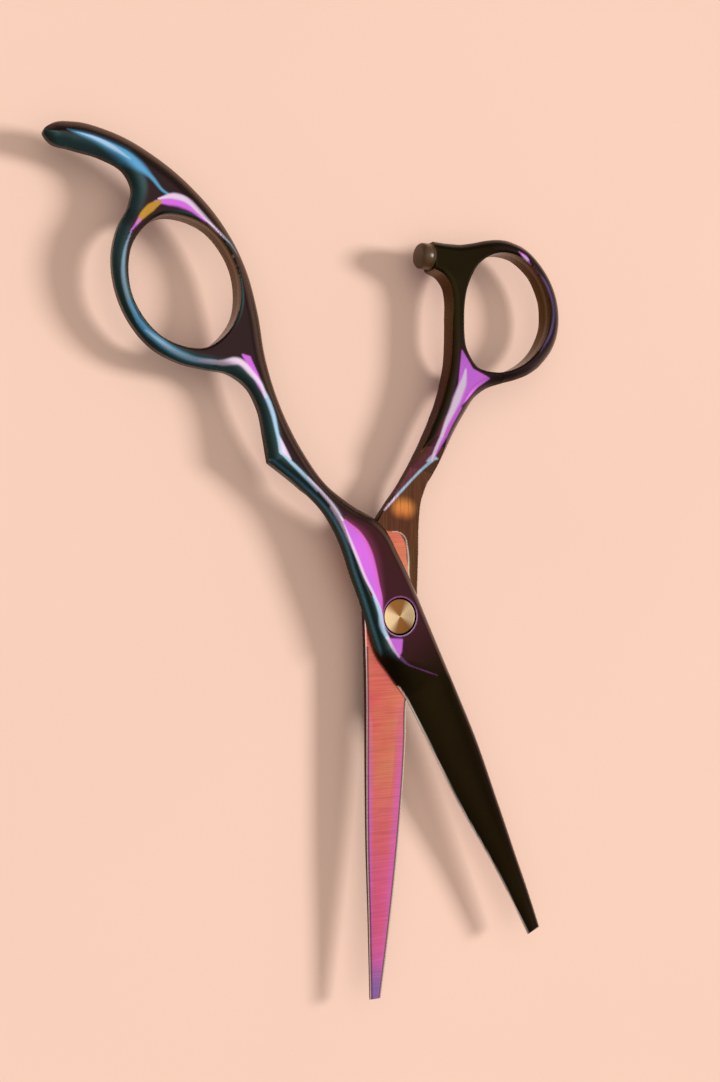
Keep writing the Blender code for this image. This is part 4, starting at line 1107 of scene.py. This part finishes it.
class SHEARS_OT_pivot_screw(bpy.types.Operator):
    """Turns the gold pivot screw with its flat head"""

    bl_idname = "shears.pivot_screw"
    bl_label = "Pivot screw"

    def execute(self, context):
        low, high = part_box("pivot_screw")
        top, end = (high.z - RIDE_HEIGHT) / MM, (low.z - RIDE_HEIGHT) / MM
        head, under = high.x / MM, top - SCREW_HEAD_THICKNESS
        neck_end, thread_start = GLIDE_FLOOR + PIECE_GAP, NUT_FLOOR + PIECE_GAP
        neck, key, thread = SCREW_NECK_RADIUS, SCREW_KEY_RADIUS, SCREW_THREAD_RADIUS
        profile = [(0.0, end), (thread - SCREW_END_CHAMFER, end), (thread, end + SCREW_END_CHAMFER),
                   (thread, thread_start), (key, thread_start), (key, neck_end), (neck, neck_end),
                   (neck, under), (head, under)]
        profile += [(head - inward, top - below) for inward, below in SCREW_HEAD_EDGE]
        mesh = turned_mesh("pivot_screw_finish", closed_on_axis(profile + [(0.0, top)]))
        show("pivot_screw_finish", mesh, turned_brass(), "thumb",
             ["pivot_screw"], SCREW_SHARP_ANGLE)
        return {"FINISHED"}


class SHEARS_OT_tension_nut(bpy.types.Operator):
    """Turns the tension nut, with four notches for a pin spanner"""

    bl_idname = "shears.tension_nut"
    bl_label = "Tension nut"

    def execute(self, context):
        low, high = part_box("tension_nut")
        rear, front = (low.z - RIDE_HEIGHT) / MM, (high.z - RIDE_HEIGHT) / MM
        bore, outer, chamfer = NUT_BORE_RADIUS, high.x / MM, NUT_CHAMFER
        notch = outer - NUT_NOTCH_REACH
        # the notches are centred halfway between the axes
        turn = np.arange(ROUND_SEGMENTS) * (2 * math.pi / ROUND_SEGMENTS)
        off = np.abs(turn % (math.pi / 2) - math.pi / 4)
        half_angle = NUT_NOTCH_WIDTH / 2 / (outer - NUT_NOTCH_REACH / 2)
        cut = NUT_NOTCH_DEPTH * (off < half_angle)
        profile = [(bore, front), (bore, rear + chamfer), (bore + chamfer, rear), (notch, rear),
                   (notch + 0.05, rear + cut), (outer - chamfer, rear + cut),
                   (outer, np.maximum(rear + chamfer, rear + cut)), (outer, front - chamfer),
                   (outer - chamfer, front)]
        mesh = turned_mesh("tension_nut_finish", profile)
        material = plain_metal("ground_steel", "#b9b6b2", roughness=0.28, grain_mm=0.4)
        show("tension_nut_finish", mesh, material, "nut", ["tension_nut"],
             SCREW_SHARP_ANGLE)
        return {"FINISHED"}


class SHEARS_OT_bumper(bpy.types.Operator):
    """Moulds the soft bumper on the spur"""

    bl_idname = "shears.bumper"
    bl_label = "Bumper"

    def execute(self, context):
        low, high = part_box("bumper")
        middle = np.array([0.0, (low.y + high.y) / 2, RIDE_HEIGHT]) / MM
        radius, face = (high.y - low.y) / 2 / MM, low.x / MM
        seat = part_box("bumper")[1].x / MM - BUMPER_PLUG
        profile = [(0.0, face)]
        for turn in np.radians(np.arange(0, 91, 10)):
            profile.append((radius - BUMPER_ROUND_EDGE * (1 - math.sin(turn)),
                            face + BUMPER_ROUND_EDGE * (1 - math.cos(turn))))
        profile += [(radius - inward, seat - back) for inward, back in BUMPER_GROOVE]
        profile += [(radius, seat), (0.0, seat)]
        mesh = turned_mesh("bumper_finish", closed_on_axis(profile), BUMPER_SEGMENTS)
        # turned from the pivot's axis to the bumper's own, along X
        points = np.empty(len(mesh.vertices) * 3)
        mesh.vertices.foreach_get("co", points)
        points = points.reshape(-1, 3) - (0.0, 0.0, RIDE_HEIGHT)
        laid = np.column_stack((points[:, 2], -points[:, 1], points[:, 0]))
        laid += middle * MM * (0, 1, 1)
        mesh.vertices.foreach_set("co", laid.ravel())
        mesh.update()
        show("bumper_finish", mesh, silicone(), "thumb", ["bumper"])
        return {"FINISHED"}


class SHEARS_OT_bearing(bpy.types.Operator):
    """Finishes the bearing, the washers and the disc spring inside the pivot"""

    bl_idname = "shears.bearing"
    bl_label = "Bearing"

    def execute(self, context):
        steel = plain_metal("polished_bearing_steel", "#c9c9cc", roughness=0.16, grain_mm=0.3)
        brass = plain_metal("stamped_brass", "#c79a52", roughness=0.35, grain_mm=0.4)
        finishes = {"hardened_steel": steel, "cage_brass": brass, "glide_polymer": polymer()}
        slots = {part["node"]: part["material_slot"] for part in frame["record"]["subparts"]}
        for name, node in frame["nodes"].items():
            if not node.hide_render:
                node.data.materials.clear()
                node.data.materials.append(finishes[slots[name]])
        return {"FINISHED"}


class SHEARS_OT_stage(bpy.types.Operator):
    """Lays the pale floor and sets the soft studio light and the camera"""

    bl_idname = "shears.stage"
    bl_label = "Stage"

    def execute(self, context):
        scene = context.scene
        lay_floor()
        light_sky(scene)
        hang_key_light(scene)
        set_camera(scene)
        scene.view_settings.view_transform = "Standard"
        return {"FINISHED"}


def lay_floor():
    """A pale matte floor just under the object."""
    half_width, level = FLOOR_HALF_WIDTH, cad_box[0][2] - FLOOR_GAP
    mesh = bpy.data.meshes.new("floor")
    corners = [(-half_width, -half_width, level), (half_width, -half_width, level),
               (half_width, half_width, level), (-half_width, half_width, level)]
    mesh.from_pydata(corners, [], [(0, 1, 2, 3)])
    material, tree, shader = new_material("matte_paper", Roughness=0.9)
    place = add(tree, "TexCoord").outputs["Object"]
    cloud = add(tree, "TexNoise", {"Vector": place}, values={"Scale": 9.0, "Detail": 2.0})
    mottle(tree, shader, "#e6c4b2", cloud.outputs["Fac"], 0.96, 1.04)
    mesh.materials.append(material)
    floor = bpy.data.objects.new("floor", mesh)
    bpy.context.scene.collection.objects.link(floor)


def light_sky(scene):
    """A studio sky that is bright overhead, slightly to the left, and falls off to the sides, with
    a low soft light on the right that draws the rims there."""
    world = bpy.data.worlds.new("studio_sky")
    world.use_nodes = True
    tree = world.node_tree
    place = add(tree, "TexCoord").outputs["Generated"]
    glows = []
    for middle, edge, core, low, high in ((SKY_MIDDLE, 0.45, 0.97, 0.24, 1.08),
                                          (RIM_LIGHT_MIDDLE, 0.80, 0.98, 0.0, 1.0)):
        near = add(tree, "VectorMath", {0: place}, {"operation": "DOT_PRODUCT"},
                   {1: Vector(middle).normalized()})
        glow = add(tree, "MapRange", {"Value": near.outputs["Value"]},
                   {"interpolation_type": "SMOOTHSTEP"},
                   {"From Min": edge, "From Max": core, "To Min": low, "To Max": high})
        glows.append(glow.outputs[0])
    total = add(tree, "Math", dict(enumerate(glows)), {"operation": "ADD"})
    background = tree.nodes["Background"]
    background.inputs["Color"].default_value = (*linear("#fff6f0"), 1)
    tree.links.new(total.outputs[0], background.inputs["Strength"])
    scene.world = world


def hang_key_light(scene):
    """A wide soft lamp on the right, far enough to light the floor evenly."""
    light = bpy.data.lights.new("key_light", "AREA")
    light.shape, light.size, light.energy = "DISK", KEY_DIAMETER, KEY_POWER
    lamp = bpy.data.objects.new("key_light", light)
    lamp.location = KEY_PLACE
    lamp.rotation_euler = (-Vector(KEY_PLACE)).to_track_quat("-Z", "Y").to_euler()
    lamp.visible_glossy = False
    scene.collection.objects.link(lamp)


def set_camera(scene):
    """A camera that looks down from the left, with the handles at the top."""
    ride = Vector((0, 0, RIDE_HEIGHT))
    place, aim = Vector(CAMERA_PLACE) + ride, Vector(CAMERA_AIM) + ride
    ahead = (aim - place).normalized()
    right = ahead.cross(Vector((0, 1, 0))).normalized()
    up = right.cross(ahead)
    data = bpy.data.cameras.new("camera")
    data.sensor_fit, data.sensor_height, data.lens = "VERTICAL", FILM_HEIGHT, FOCAL_LENGTH
    data.clip_start = 0.01
    camera = bpy.data.objects.new("camera", data)
    turn = Matrix((right, up, -ahead)).transposed()
    camera.matrix_world = Matrix.Translation(place) @ turn.to_4x4()
    scene.collection.objects.link(camera)
    scene.camera = camera


class SHEARS_PT_panel(bpy.types.Panel):
    """Lists the pieces, the sizes and the tones"""

    bl_idname = "SHEARS_PT_panel"
    bl_label = "Hair cutting shears"
    bl_space_type = "VIEW_3D"
    bl_region_type = "UI"
    bl_category = "Shears"

    def draw(self, context):
        for operator in OPERATORS:
            self.layout.operator(operator.bl_idname)
        for group in (context.scene.shears_sizes, context.scene.shears_tones):
            for name in group.__annotations__:
                self.layout.prop(group, name)


OPERATORS = (SHEARS_OT_finger_half, SHEARS_OT_thumb_half, SHEARS_OT_pivot_screw,
             SHEARS_OT_tension_nut, SHEARS_OT_bumper, SHEARS_OT_bearing, SHEARS_OT_stage)


def register():
    for cls in (ShearsSizes, ShearsTones, *OPERATORS, SHEARS_PT_panel):
        bpy.utils.register_class(cls)
    bpy.types.Scene.shears_sizes = bpy.props.PointerProperty(type=ShearsSizes)
    bpy.types.Scene.shears_tones = bpy.props.PointerProperty(type=ShearsTones)


def unregister():
    del bpy.types.Scene.shears_sizes
    del bpy.types.Scene.shears_tones
    for cls in (SHEARS_PT_panel, *reversed(OPERATORS), ShearsTones, ShearsSizes):
        bpy.utils.unregister_class(cls)


def main():
    """Builds every piece and the stage."""
    register()
    for operator in OPERATORS:
        group, name = operator.bl_idname.split(".")
        getattr(getattr(bpy.ops, group), name)()


if __name__ == "__main__":
    main()
